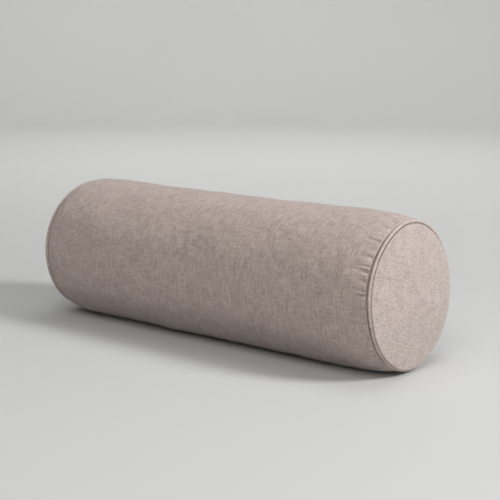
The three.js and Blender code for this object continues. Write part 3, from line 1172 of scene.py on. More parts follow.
    def dents(self, angle: np.ndarray, x: np.ndarray, from_seam: np.ndarray) -> np.ndarray:
        """Height of both seams' puckers, which are deepest where the cloth was eased in most.

        Args:
            angle: angle from the zip.
            x: distance along the axis.
            from_seam: distance from the nearer seam along the cloth.

        Returns:
            Heights in metres.
        """
        eased_right = np.maximum(0.7 + 0.65 * np.cos(angle - 3.4), 0.3)
        eased_left = 0.5 + 0.2 * np.cos(angle - 1.0)
        right = self.puckers(End.RIGHT).at(angle, from_seam) * eased_right
        left = self.puckers(End.LEFT).at(angle, from_seam) * eased_left
        return np.where(x > 0, right, left)

    def puckers(self, end: End) -> Puckers:
        """The puckers at one end seam.

        Args:
            end: which end.

        Returns:
            The puckers.
        """
        seed = 31 if end is End.RIGHT else 32
        return Puckers(
            count=58, depth=(2.3 * MM, 4.2 * MM), half_width=(1.7 * MM, 2.9 * MM),
            length=(10 * MM, 21 * MM), girth_radius=self.cloth.layout.radius, seed=seed,
            hold_at_seam=0.75)


@dataclass
class EndDisc:
    """A round end cloth: a dome that folds back at its edge into the seam."""

    cloth: Cloth
    wardrobe: Wardrobe
    end: End
    columns: int = 320
    fold_x: float = 2.75 * MM
    fold: float = 1.1 * MM
    fold_radius: float = 89.2 * MM
    snug: float = 2.8 * MM
    power: float = 2.3

    def build(self) -> bpy.types.Object:
        """Makes the end cloth with its fold, gathers and crown.

        Returns:
            The finished piece.
        """
        layout = self.cloth.layout
        half_cloth = layout.linen / 2
        edge = layout.seam_x + self.fold_x + self.fold
        crown = layout.crown_x - half_cloth
        raw = [(layout.seam_x + self.fold_x - self.fold, r)
               for r in np.linspace(layout.raw_edge, self.fold_radius, 30)]
        fold_middle = layout.seam_x + self.fold_x
        turn = [(fold_middle - self.fold * math.cos(t), self.fold_radius + self.fold * math.sin(t))
                for t in np.linspace(0, math.pi, 30)[1:]]
        dome = [(crown - (crown - edge) * share**self.power, self.fold_radius * share)
                for share in np.linspace(1, 0.02, 400)[1:]]
        fine = np.array(raw + turn + dome)
        fold_at = arc_length(np.array(raw + turn))[-1]

        def spacing(place: float) -> float:
            """Spacing of the rings at a place along the cloth, closest at the fold."""
            away = abs(place - fold_at)
            return 0.5 * MM if away < 3 * MM else min(0.5 * MM + (away - 3 * MM) * 0.08, 3 * MM)

        outline = evenly(fine, spacing)
        length = arc_length(outline) - fold_at
        angle = round_angles(self.columns)
        seed = 41 if self.end is End.RIGHT else 42
        gathers = Puckers(64, (0.12 * MM, 0.7 * MM), (1.8 * MM, 3.4 * MM), (5 * MM, 17 * MM),
                          self.fold_radius, seed, hold_at_seam=0.1)
        girth = TAU * self.fold_radius
        swell = Ripple(0.55 * MM, 60 * MM, 180 * MM, girth, seed=seed + 10)
        fine_swell = Ripple(0.1 * MM, 16 * MM, 50 * MM, girth, seed=seed + 20)
        free = smoothstep(0, 30 * MM, length)[:, None]
        calm = smoothstep(6 * MM, 30 * MM, outline[:, 1])[:, None]
        dents = gathers.at(angle[None, :], length[:, None])
        y = outline[:, 1:] * np.cos(angle) / self.fold_radius
        z = outline[:, 1:] * np.sin(angle)
        held = smoothstep(0, 2 * MM, length)[:, None]
        lift = free * calm * (swell.at(y * 2, z) + fine_swell.at(y * 2, z)) + dents * held * calm
        x = self.end.value * (outline[:, :1] + lift)
        at_rim = smoothstep(76 * MM, 88.5 * MM, outline[:, 1:])
        past_seam = smoothstep(layout.seam_x + 0.6 * MM, layout.seam_x + 2.6 * MM, outline[:, :1])
        snug = self.snug * (0.3 + 0.7 * np.cos(angle - 2.7)) * at_rim * past_seam
        points = self.cloth.settle(self.cloth.place(x, outline[:, 1:] + snug, angle[None, :]))
        tip = self.cloth.settle(np.array([[self.end.value * crown, 0.0, 0.0]]))[0]
        flat = length[-1] - length + outline[-1, 1]
        turn_uv = round_angles(self.columns, True)
        uv = np.stack([flat[:, None] * np.cos(turn_uv), flat[:, None] * np.sin(turn_uv)], -1)
        piece = grid_mesh(f"end_disc_{self.end.word}", points, uv, wrap=True, pole=Vector(tip),
                          flip=self.end is End.LEFT)
        thicken(piece, layout.linen)
        node = f"end_panel_{self.end.word}"
        # The end cloth takes the end linen, whose colours paint the key light on the ends.
        self.wardrobe.dress(piece, Slot.LINEN, "pillow", [node], self.wardrobe.end_linen)
        return piece


@dataclass
class Piping:
    """The piping of one end: a bias strip folded round a twisted cord."""

    cloth: Cloth
    wardrobe: Wardrobe
    end: End
    columns: int = 512
    cover_radius: float = 1.6 * MM
    flange: float = 0.5 * MM
    strand: float = 0.58 * MM
    lay: float = 7 * MM
    shift_x: float = 0.05 * MM
    shift_r: float = 0.4 * MM

    def __post_init__(self) -> None:
        """Draws the left piping further into its seam, as the fuller barrel cloth there does."""
        if self.end is End.LEFT:
            self.shift_x, self.shift_r = 0.1 * MM, -0.5 * MM

    def build(self) -> list[bpy.types.Object]:
        """Makes the strip and the cord inside it.

        Returns:
            The two pieces.
        """
        return [self.build_cover(), self.build_cord()]

    def build_cover(self) -> bpy.types.Object:
        """Makes the folded strip, a little uneven, with the bump where its ends are joined.

        Returns:
            The strip.
        """
        layout = self.cloth.layout
        seed = 51 if self.end is End.RIGHT else 52
        lean = math.asin(self.flange / self.cover_radius)
        around = np.linspace(-math.pi / 2 - lean, -math.pi / 2 + lean - TAU, 23)
        centre_r = layout.piping_seat + self.shift_r
        foot = centre_r - self.cover_radius * math.cos(lean)
        flange = np.linspace(layout.raw_edge, foot, 7)[:-1]
        angle = round_angles(self.columns)
        girth = TAU * layout.piping_seat
        uneven = Ripple(0.08 * MM, 5 * MM, 40 * MM, girth, waves=40, seed=seed)
        rng = np.random.default_rng(seed)
        from_joint = (((angle - 0.6 - rng.random()) + math.pi) % TAU - math.pi) * layout.radius
        joint = np.exp(-((from_joint / (5 * MM)) ** 2))
        size = self.cover_radius + uneven.at(angle, 0 * angle) + 0.3 * MM * joint
        tension = 0.05 * MM * np.sin(angle[None, :] * 240 + around[:, None] * 2)
        ring = size[None, :] + tension
        middle_x = layout.seam_x + self.shift_x
        round_x = middle_x + ring * np.cos(around)[:, None]
        round_r = centre_r + ring * np.sin(around)[:, None]
        left_x = np.full((len(flange), self.columns), middle_x - self.flange)
        right_x = np.full((len(flange), self.columns), middle_x + self.flange)
        flange_r = np.repeat(flange[:, None], self.columns, 1)
        x = np.concatenate([left_x, round_x, right_x])
        radius = np.concatenate([flange_r, round_r, flange_r[::-1]])
        points = self.cloth.settle(self.cloth.place(self.end.value * x, radius, angle[None, :]))
        points[..., 2] = np.maximum(points[..., 2], layout.linen / 2)
        places = arc_length(np.stack([x[:, 0], radius[:, 0]], 1))
        turn_uv = round_angles(self.columns, True) * layout.piping_seat
        uv = np.stack(np.broadcast_arrays(turn_uv[None, :], places[:, None]), -1)
        piece = grid_mesh(
            f"piping_{self.end.word}", points, uv, wrap=True, flip=self.end is End.RIGHT)
        thicken(piece, layout.linen)
        node = f"piping_cover_{self.end.word}"
        # The strip takes the bias linen with its painted highlight.
        return self.wardrobe.dress(piece, Slot.LINEN, "pillow", [node], self.wardrobe.bias_linen)

    def build_cord(self) -> bpy.types.Object:
        """Makes the cord: three strands laid round each other, closed into a ring.

        Returns:
            The cord.
        """
        layout = self.cloth.layout
        turns = round(TAU * layout.piping_seat / self.lay)
        angle = round_angles(turns * 12)
        around = round_angles(8)
        meshes = []
        for strand in range(3):
            phase = angle * turns + TAU * strand / 3
            centre_x = layout.seam_x + self.shift_x + 0.62 * MM * np.cos(phase)
            centre_r = layout.piping_seat + self.shift_r + 0.62 * MM * np.sin(phase)
            x = centre_x + self.strand * np.cos(around)[:, None]
            radius = centre_r + self.strand * np.sin(around)[:, None]
            points = self.cloth.settle(self.cloth.place(self.end.value * x, radius, angle[None, :]))
            meshes.append(closed_tube(points))
        piece = join_meshes(f"piping_filler_{self.end.word}", meshes)
        return self.wardrobe.dress(piece, Slot.CORD, "pillow", [f"piping_cord_{self.end.word}"])


def closed_tube(points: np.ndarray) -> tuple[np.ndarray, np.ndarray]:
    """Vertices and faces of a tube whose section and path are both closed.

    Args:
        points: section points by path stations.

    Returns:
        The vertices and the quads.
    """
    rows, columns = points.shape[:2]
    r, c = np.meshgrid(np.arange(rows), np.arange(columns), indexing="ij")
    after = (c + 1) % columns
    here, beyond = r * columns, (r + 1) % rows * columns
    quads = np.stack([here + c, here + after, beyond + after, beyond + c], -1)
    return points.reshape(-1, 3), quads.reshape(-1, 4)


def open_tube(path: np.ndarray, radius: float, sides: int) -> tuple[np.ndarray, np.ndarray]:
    """Vertices and faces of a thread along a path, its two ends closed to points.

    Args:
        path: points along the thread.
        radius: the thread's radius.
        sides: corners of its section.

    Returns:
        The vertices and the faces.
    """
    tangent = np.gradient(path, axis=0)
    tangent /= np.linalg.norm(tangent, axis=1)[:, None]
    guide = np.array([0.0, 1.0, 0.0]) if abs(tangent[0][1]) < 0.8 else np.array([0.0, 0.0, 1.0])
    vertices = []
    for place, ahead in zip(path, tangent):
        side = np.cross(ahead, guide)
        side /= np.linalg.norm(side)
        guide = np.cross(side, ahead)
        for k in range(sides):
            turn = TAU * k / sides
            vertices.append(place + radius * (math.cos(turn) * side + math.sin(turn) * guide))
    faces = []
    for i in range(len(path) - 1):
        for k in range(sides):
            n = (k + 1) % sides
            faces.append([i * sides + k, i * sides + n, (i + 1) * sides + n, (i + 1) * sides + k])
    first, last = len(vertices), len(vertices) + 1
    vertices.extend([path[0] - tangent[0] * radius * 0.6, path[-1] + tangent[-1] * radius * 0.6])
    base = (len(path) - 1) * sides
    for k in range(sides):
        n = (k + 1) % sides
        faces.append([first, n, k])
        faces.append([last, base + k, base + n])
    return np.array(vertices), faces


def join_meshes(name: str, parts: list) -> bpy.types.Object:
    """Makes one smooth mesh piece from several sets of vertices and faces.

    Args:
        name: the piece's name.
        parts: pairs of vertices and faces.

    Returns:
        The new object, its faces turned outwards.
    """
    vertices, faces, start = [], [], 0
    for points, polygons in parts:
        vertices.extend(np.asarray(points).tolist())
        faces.extend([[start + i for i in polygon] for polygon in np.asarray(polygons, dtype=object)])
        start += len(points)
    mesh = bpy.data.meshes.new(name)
    mesh.from_pydata(vertices, [], faces)
    outward(mesh)
    mesh.shade_smooth()
    return linked(name, mesh)


def lofted(name: str, points: np.ndarray) -> bpy.types.Object:
    """Makes a solid piece through rings of points, its first and last rings closed flat.

    Args:
        name: the piece's name.
        points: rings by the points of a ring.

    Returns:
        The new object, its faces turned outwards.
    """
    rows, columns = points.shape[:2]
    faces = []
    for r in range(rows - 1):
        here, beyond = r * columns, (r + 1) * columns
        for c in range(columns):
            n = (c + 1) % columns
            faces.append([here + c, here + n, beyond + n, beyond + c])
    faces.append(list(range(columns)))
    faces.append(list(range((rows - 1) * columns, rows * columns))[::-1])
    return join_meshes(name, [(points.reshape(-1, 3), faces)])


def outward(mesh: bpy.types.Mesh) -> None:
    """Turns a closed mesh's faces outwards.

    Args:
        mesh: the mesh, which keeps its points.
    """
    shape = bmesh.new()
    shape.from_mesh(mesh)
    bmesh.ops.recalc_face_normals(shape, faces=shape.faces)
    shape.to_mesh(mesh)
    shape.free()


# Threads and coils that repeat along a path


@dataclass
class Repeat:
    """Geometry Nodes that set a small unit at even steps along a path, as a machine sews."""

    name: str
    step: float

    def tree(self) -> bpy.types.NodeTree:
        """Builds the node tree.

        Returns:
            A tree with inputs for the unit, the step and the finish.
        """
        tree = bpy.data.node_groups.new(self.name, "GeometryNodeTree")
        face = tree.interface
        face.new_socket("Path", in_out="INPUT", socket_type="NodeSocketGeometry")
        face.new_socket("Unit", in_out="INPUT", socket_type="NodeSocketObject")
        face.new_socket("Step", in_out="INPUT", socket_type="NodeSocketFloat")
        face.new_socket("Slack", in_out="INPUT", socket_type="NodeSocketFloat")
        face.new_socket("Finish", in_out="INPUT", socket_type="NodeSocketMaterial")
        face.new_socket("Geometry", in_out="OUTPUT", socket_type="NodeSocketGeometry")
        nodes, links = tree.nodes, tree.links
        given = nodes.new("NodeGroupInput")
        result = nodes.new("NodeGroupOutput")
        up = nodes.new("GeometryNodeInputNamedAttribute")
        up.data_type = "FLOAT_VECTOR"
        up.inputs["Name"].default_value = "up"
        curve = nodes.new("GeometryNodeMeshToCurve")
        even = nodes.new("GeometryNodeResampleCurve")
        even.mode = "LENGTH"
        unit = nodes.new("GeometryNodeObjectInfo")
        ahead = nodes.new("GeometryNodeInputTangent")
        face_ahead = nodes.new("FunctionNodeAlignRotationToVector")
        face_ahead.axis = "X"
        face_up = nodes.new("FunctionNodeAlignRotationToVector")
        face_up.axis, face_up.pivot_axis = "Z", "X"
        place = nodes.new("GeometryNodeInstanceOnPoints")
        wander = nodes.new("FunctionNodeRandomValue")
        wander.inputs[2].default_value = 0.0
        wander.inputs["Seed"].default_value = 7
        sway = nodes.new("ShaderNodeMath")
        sway.operation = "MULTIPLY_ADD"
        sway.inputs[1].default_value = 1.0
        sway.inputs[2].default_value = 1.0
        slack = nodes.new("ShaderNodeMath")
        slack.operation = "MULTIPLY"
        real = nodes.new("GeometryNodeRealizeInstances")
        dress = nodes.new("GeometryNodeSetMaterial")
        smooth = nodes.new("GeometryNodeSetShadeSmooth")
        links.new(given.outputs["Path"], curve.inputs[0])
        links.new(curve.outputs[0], even.inputs["Curve"])
        links.new(given.outputs["Step"], even.inputs["Length"])
        links.new(even.outputs[0], place.inputs["Points"])
        links.new(given.outputs["Unit"], unit.inputs["Object"])
        links.new(unit.outputs["Geometry"], place.inputs["Instance"])
        links.new(ahead.outputs[0], face_ahead.inputs["Vector"])
        links.new(face_ahead.outputs[0], face_up.inputs["Rotation"])
        links.new(up.outputs["Attribute"], face_up.inputs["Vector"])
        links.new(face_up.outputs[0], place.inputs["Rotation"])
        links.new(wander.outputs[1], slack.inputs[0])
        links.new(given.outputs["Slack"], slack.inputs[1])
        links.new(slack.outputs[0], sway.inputs[0])
        links.new(sway.outputs[0], place.inputs["Scale"])
        links.new(place.outputs[0], real.inputs[0])
        links.new(real.outputs[0], smooth.inputs[0])
        links.new(smooth.outputs[0], dress.inputs[0])
        links.new(given.outputs["Finish"], dress.inputs["Material"])
        links.new(dress.outputs[0], result.inputs[0])
        return tree

    def along(
        self, piece_name: str, path: np.ndarray, up: np.ndarray, closed: bool,
        unit: tuple, finish: bpy.types.Material, slack: float = 0.0,
    ) -> bpy.types.Object:
        """Sets the unit along a path and keeps the result as a plain mesh.

        Args:
            piece_name: the new piece's name.
            path: points of the path.
            up: the unit's upward direction at each point.
            closed: whether the path is a ring.
            unit: vertices and faces of one unit, along +X from the origin.
            finish: the material.
            slack: how far the units' sizes differ, as a share.

        Returns:
            The new piece.
        """
        count = len(path)
        edges = [(i, (i + 1) % count) for i in range(count if closed else count - 1)]
        mesh = bpy.data.meshes.new(piece_name)
        mesh.from_pydata(path.tolist(), edges, [])
        attribute = mesh.attributes.new("up", "FLOAT_VECTOR", "POINT")
        attribute.data.foreach_set("vector", np.ascontiguousarray(up, dtype=np.float32).ravel())
        guide = linked(piece_name + "_path", mesh)
        stamp = join_meshes(piece_name + "_unit", [unit])
        tree = self.tree()
        modifier = guide.modifiers.new("repeat", "NODES")
        modifier.node_group = tree
        items = tree.interface.items_tree
        sockets = {item.name: item.identifier for item in items if item.in_out == "INPUT"}
        modifier[sockets["Unit"]] = stamp
        modifier[sockets["Step"]] = self.step
        modifier[sockets["Slack"]] = slack
        modifier[sockets["Finish"]] = finish
        evaluated = guide.evaluated_get(bpy.context.evaluated_depsgraph_get())
        result = bpy.data.meshes.new_from_object(evaluated)
        result.name = piece_name
        piece = linked(piece_name, result)
        bpy.data.objects.remove(guide)
        bpy.data.objects.remove(stamp)
        bpy.data.node_groups.remove(tree)
        return piece


@dataclass
class SeamThreads:
    """The lockstitch and the overlock of one end seam."""

    cloth: Cloth
    wardrobe: Wardrobe
    end: End
    stitch: float = 3.1 * MM
    loop: float = 3.4 * MM
    stitch_x: float = 2.65 * MM
    stitch_radius: float = 88.1 * MM
    edge_x: float = 2.65 * MM
    edge_depth: float = 5 * MM
    thread: float = 0.28 * MM

    def ring(self, x: float, radius: float) -> tuple[np.ndarray, np.ndarray]:
        """A ring round the bolster at one end, and its outward directions.

        Args:
            x: distance of the ring from the middle.
            radius: the ring's radius.

        Returns:
            The points and the directions.
        """
        angle = round_angles(360)
        points = self.cloth.place(self.end.value * x, radius + 0 * angle, angle)
        directions = self.cloth.place(0 * angle, 1 + 0 * angle, angle)
        return self.cloth.settle(points), directions

    def build(self) -> list[bpy.types.Object]:
        """Sews the seam.

        Returns:
            The stitching and the overlock.
        """
        layout = self.cloth.layout
        thread = self.wardrobe.materials[Slot.THREAD]
        path, up = self.ring(layout.seam_x - self.stitch_x, self.stitch_radius)
        reach = self.stitch * 0.46
        arch = np.array([(reach * t, 0, self.thread * 0.9 * (1 - t**4)) for t in np.linspace(-1, 1, 7)])
        row = Repeat("lockstitch", self.stitch).along(
            f"seam_stitches_{self.end.word}", path, up, True, open_tube(arch, self.thread, 6), thread, 0.08)
        self.wardrobe.dress(row, Slot.THREAD, "pillow", [f"seam_stitching_{self.end.word}"])
        path, up = self.ring(layout.seam_x, layout.raw_edge)
        side, deep, step = self.edge_x, self.edge_depth, self.loop
        loop = np.array([
            (-0.46 * step, -side, deep), (-0.2 * step, -side, deep * 0.6), (0, -side, 0.1 * MM),
            (0, -side * 0.6, -0.55 * MM), (0, 0, -0.62 * MM), (0, side * 0.6, -0.55 * MM),
            (0, side, 0.1 * MM), (0.2 * step, side, deep * 0.6), (0.46 * step, side, deep),
        ])
        edge = Repeat("overlock", self.loop).along(
            f"overlock_{self.end.word}", path, up, True, open_tube(loop, self.thread, 6), thread, 0.05)
        self.wardrobe.dress(edge, Slot.THREAD, "pillow", [f"seam_overlock_{self.end.word}"])
        return [row, edge]


# Concealed zip


@dataclass
class ZipSide:
    """One side of the zip: its tape, coil, top stop and the stitches that hold it."""

    cloth: Cloth
    wardrobe: Wardrobe
    side: Side
    tape_width: float = 12 * MM
    tape_thickness: float = 0.5 * MM
    tape_top: float = 95.8 * MM
    coil_inner: float = 0.9 * MM
    coil_outer: float = 2.8 * MM
    coil_bottom: float = 92.8 * MM
    coil_top: float = 95.0 * MM
    coil_pitch: float = 1.3 * MM
    filament: float = 0.3 * MM
    stitch_across: float = 6.3 * MM
    stitch: float = 3.0 * MM
    stop: float = 3.5 * MM
    overhang: float = 0.7 * MM

    def at(self, x: np.ndarray, across: np.ndarray, out: np.ndarray) -> np.ndarray:
        """Points in the row frame from distances along, across and out from the zip.

        Args:
            x: distance along the zip.
            across: distance from its middle, towards this side.
            out: distance from the bolster's axis.

        Returns:
            The points.
        """
        return self.cloth.beside_zip(x, self.side.value * across, out)

    def line(self, half_length: float, across: float, out: float) -> tuple[np.ndarray, np.ndarray]:
        """A straight path along the zip and its outward directions.

        Args:
            half_length: half of the path's length.
            across: its distance from the zip's middle, towards this side.
            out: its distance from the bolster's axis.

        Returns:
            The points and the directions.
        """
        x = np.linspace(-half_length, half_length, 120)
        return self.at(x, np.full_like(x, across), np.full_like(x, out)), np.tile(self.cloth.out, (120, 1))

    def build(self) -> list[bpy.types.Object]:
        """Makes this side's pieces.

        Returns:
            The tape, coil, stitches and stop.
        """
        return [self.build_tape(), self.build_coil(), self.build_stitches(), self.build_stop()]

    def build_tape(self) -> bpy.types.Object:
        """Weaves the tape: a thin strip with ribs along it.

        Returns:
            The tape.
        """
        layout = self.cloth.layout
        rng = np.random.default_rng(61 + self.side.value)
        x = np.linspace(-layout.tape_half, layout.tape_half, 160)
        across = self.coil_inner + self.tape_width * np.linspace(0, 1, 25)
        ribs = 0.05 * MM * np.cos(np.linspace(0, 10 * TAU, 25))
        wave = 0.06 * MM * np.sin(x[:, None] / (9 * MM) + rng.random() * TAU)
        out = self.tape_top - self.tape_thickness / 2 - 0.06 * MM + ribs[None, :] * 0.6 + wave * 0.5
        points = self.at(x[:, None], across[None, :], out)
        uv = np.stack(np.broadcast_arrays(across[None, :], x[:, None]), -1)
        name = f"tape_{self.side.word}"
        piece = grid_mesh(name, points, uv, flip=self.side is Side.LOWER)
        thicken(piece, self.tape_thickness - 0.1 * MM)
        return self.wardrobe.dress(piece, Slot.TAPE, "pillow", [f"zip_tape_{self.side.word}"])

    def build_coil(self) -> bpy.types.Object:
        """Winds the coil: one loop of filament for each step of the zip.

        Returns:
            The coil.
        """
        layout = self.cloth.layout
        middle = (self.coil_inner + self.coil_outer) / 2
        path, up = self.line(
            layout.zip_half - self.stop - 0.3 * MM - self.coil_pitch / 2,
            middle, (self.coil_top + self.coil_bottom) / 2)
        wide = (self.coil_outer - self.coil_inner) / 2 - self.filament
        high = (self.coil_top - self.coil_bottom) / 2 - self.filament
        turn = np.linspace(0, TAU, 13)
        loop = np.stack([
            self.coil_pitch * (turn / TAU - 0.5),
            wide * np.cos(turn) * np.abs(np.cos(turn)) ** 0.2,
            high * np.sin(turn),
        ], 1)
        piece = Repeat("coil_turn", self.coil_pitch).along(
            f"coil_{self.side.word}", path, up, False, open_tube(loop, self.filament, 5),
            self.wardrobe.materials[Slot.COIL])
        return self.wardrobe.dress(piece, Slot.COIL, "pillow", [f"zip_coil_{self.side.word}"])

    def build_stitches(self) -> bpy.types.Object:
        """Sews the tape to the cloth.

        Returns:
            The row of stitches.
        """
        layout = self.cloth.layout
        radius = 0.27 * MM
        path, up = self.line(layout.zip_half - 2 * MM, self.stitch_across, self.coil_top - 0.3 * MM)
        reach = self.stitch * 0.45
        arch = np.array([(reach * t, 0, 0.03 * MM * (1 - t**4)) for t in np.linspace(-1, 1, 7)])
        piece = Repeat("zip_stitch", self.stitch).along(
            f"zip_stitches_{self.side.word}", path, up, False, open_tube(arch, radius, 6),
            self.wardrobe.materials[Slot.THREAD], 0.06)
        return self.wardrobe.dress(piece, Slot.THREAD, "pillow", [f"zip_stitching_{self.side.word}"])

    def build_stop(self) -> bpy.types.Object:
        """Crimps the top stop round the end of the coil.

        Returns:
            The stop.
        """
        start = -self.cloth.layout.zip_half
        piece = crimp(f"top_stop_{self.side.word}", self.cloth, start, start + self.stop, *sorted((
            self.side.value * self.coil_inner, self.side.value * (self.coil_outer + self.overhang))),
            self.coil_bottom - self.overhang, self.coil_top)
        return self.wardrobe.dress(piece, Slot.METAL, "pillow", [f"zip_top_stop_{self.side.word}"])


def crimp(
    name: str, cloth: Cloth, from_x: float, to_x: float, from_across: float, to_across: float,
    low: float, high: float,
) -> bpy.types.Object:
    """A small metal crimp: a rounded bar with two pressed grooves round it.

    Args:
        name: the piece's name.
        cloth: what places it on the bolster.
        from_x: its start along the zip.
        to_x: its end along the zip.
        from_across: its upper side.
        to_across: its lower side.
        low: its inner face, from the axis.
        high: its outer face, from the axis.

    Returns:
        The new piece.
    """
    turn = round_angles(20)
    section_y = np.sign(np.cos(turn)) * np.abs(np.cos(turn)) ** 0.5
    section_z = np.sign(np.sin(turn)) * np.abs(np.sin(turn)) ** 0.5
    share = np.linspace(0, 1, 19)
    rounding = 1 - 0.35 * np.maximum(np.abs(2 * share - 1) - 0.72, 0) ** 2 / 0.28**2
    first, second = (np.exp(-(((share - place) / 0.06) ** 2)) for place in (0.33, 0.67))
    groove = 1 - 0.11 * (first + second)
    size = rounding * groove
    x = (from_x + (to_x - from_x) * share)[:, None] + 0 * section_y
    across = (from_across + to_across) / 2 + (to_across - from_across) / 2 * size[:, None] * section_y
    out = (low + high) / 2 + (high - low) / 2 * size[:, None] * section_z
    points = cloth.beside_zip(x, across, out)
    return lofted(name, points)


@dataclass
class BottomStop:
    """The zip's bottom stop, crimped over both coils."""

    cloth: Cloth
    wardrobe: Wardrobe
    length: float = 3.5 * MM
    half_width: float = 3.5 * MM
    low: float = 92.1 * MM
    high: float = 95.0 * MM

    def build(self) -> bpy.types.Object:
        """Crimps the stop at the closed end of the zip.

        Returns:
            The stop.
        """
        end = self.cloth.layout.zip_half
        piece = crimp("bottom_stop", self.cloth, end - self.length, end,
                      -self.half_width, self.half_width, self.low, self.high)
        return self.wardrobe.dress(piece, Slot.METAL, "pillow", ["zip_bottom_stop"])


@dataclass
class Slider:
    """The zip's slider and its pull, with their cast edges rounded."""

    cloth: Cloth
    wardrobe: Wardrobe
    edge: float = 0.16 * MM
    tab_edge: float = 0.28 * MM
    flat_join: float = math.radians(2)
    sharp_edge: float = math.radians(32)
    crease: float = math.radians(50)

    def build(self) -> list[bpy.types.Object]:
        """Makes the slider and the pull.

        Returns:
            The two pieces.
        """
        body = self.rounded("zip_slider", "slider_body", self.edge)
        self.wardrobe.dress(body, Slot.METAL, "slider", ["zip_slider"])
        tab = self.rounded("zip_pull", "pull_tab", self.tab_edge)
        self.wardrobe.dress(tab, Slot.METAL, "pull", ["zip_pull"])
        return [body, tab]

    def rounded(self, node: str, name: str, width: float) -> bpy.types.Object:
        """A copy of a rigid CAD piece with its edges rounded.

        Args:
            node: the CAD node.
            name: the new piece's name.
            width: how far the rounding reaches from each edge.

        Returns:
            The new piece.
        """
        shape = bmesh.new()
        shape.from_mesh(frame["nodes"][node].data)
        bmesh.ops.remove_doubles(shape, verts=shape.verts, dist=0.005 * MM)
        bmesh.ops.dissolve_limit(
            shape, angle_limit=self.flat_join, verts=shape.verts, edges=shape.edges)
        sharp = [
            e for e in shape.edges
            if len(e.link_faces) == 2 and e.calc_face_angle() > self.sharp_edge
        ]
        bmesh.ops.bevel(shape, geom=sharp, offset=width, segments=3, profile=0.6, affect="EDGES",
                        clamp_overlap=True)
        bmesh.ops.triangulate(shape, faces=shape.faces)
        mesh = bpy.data.meshes.new(name)
        shape.to_mesh(mesh)
        shape.free()
        mesh.shade_smooth()
        mesh.set_sharp_from_angle(angle=self.crease)
        return linked(name, mesh)


# Insert


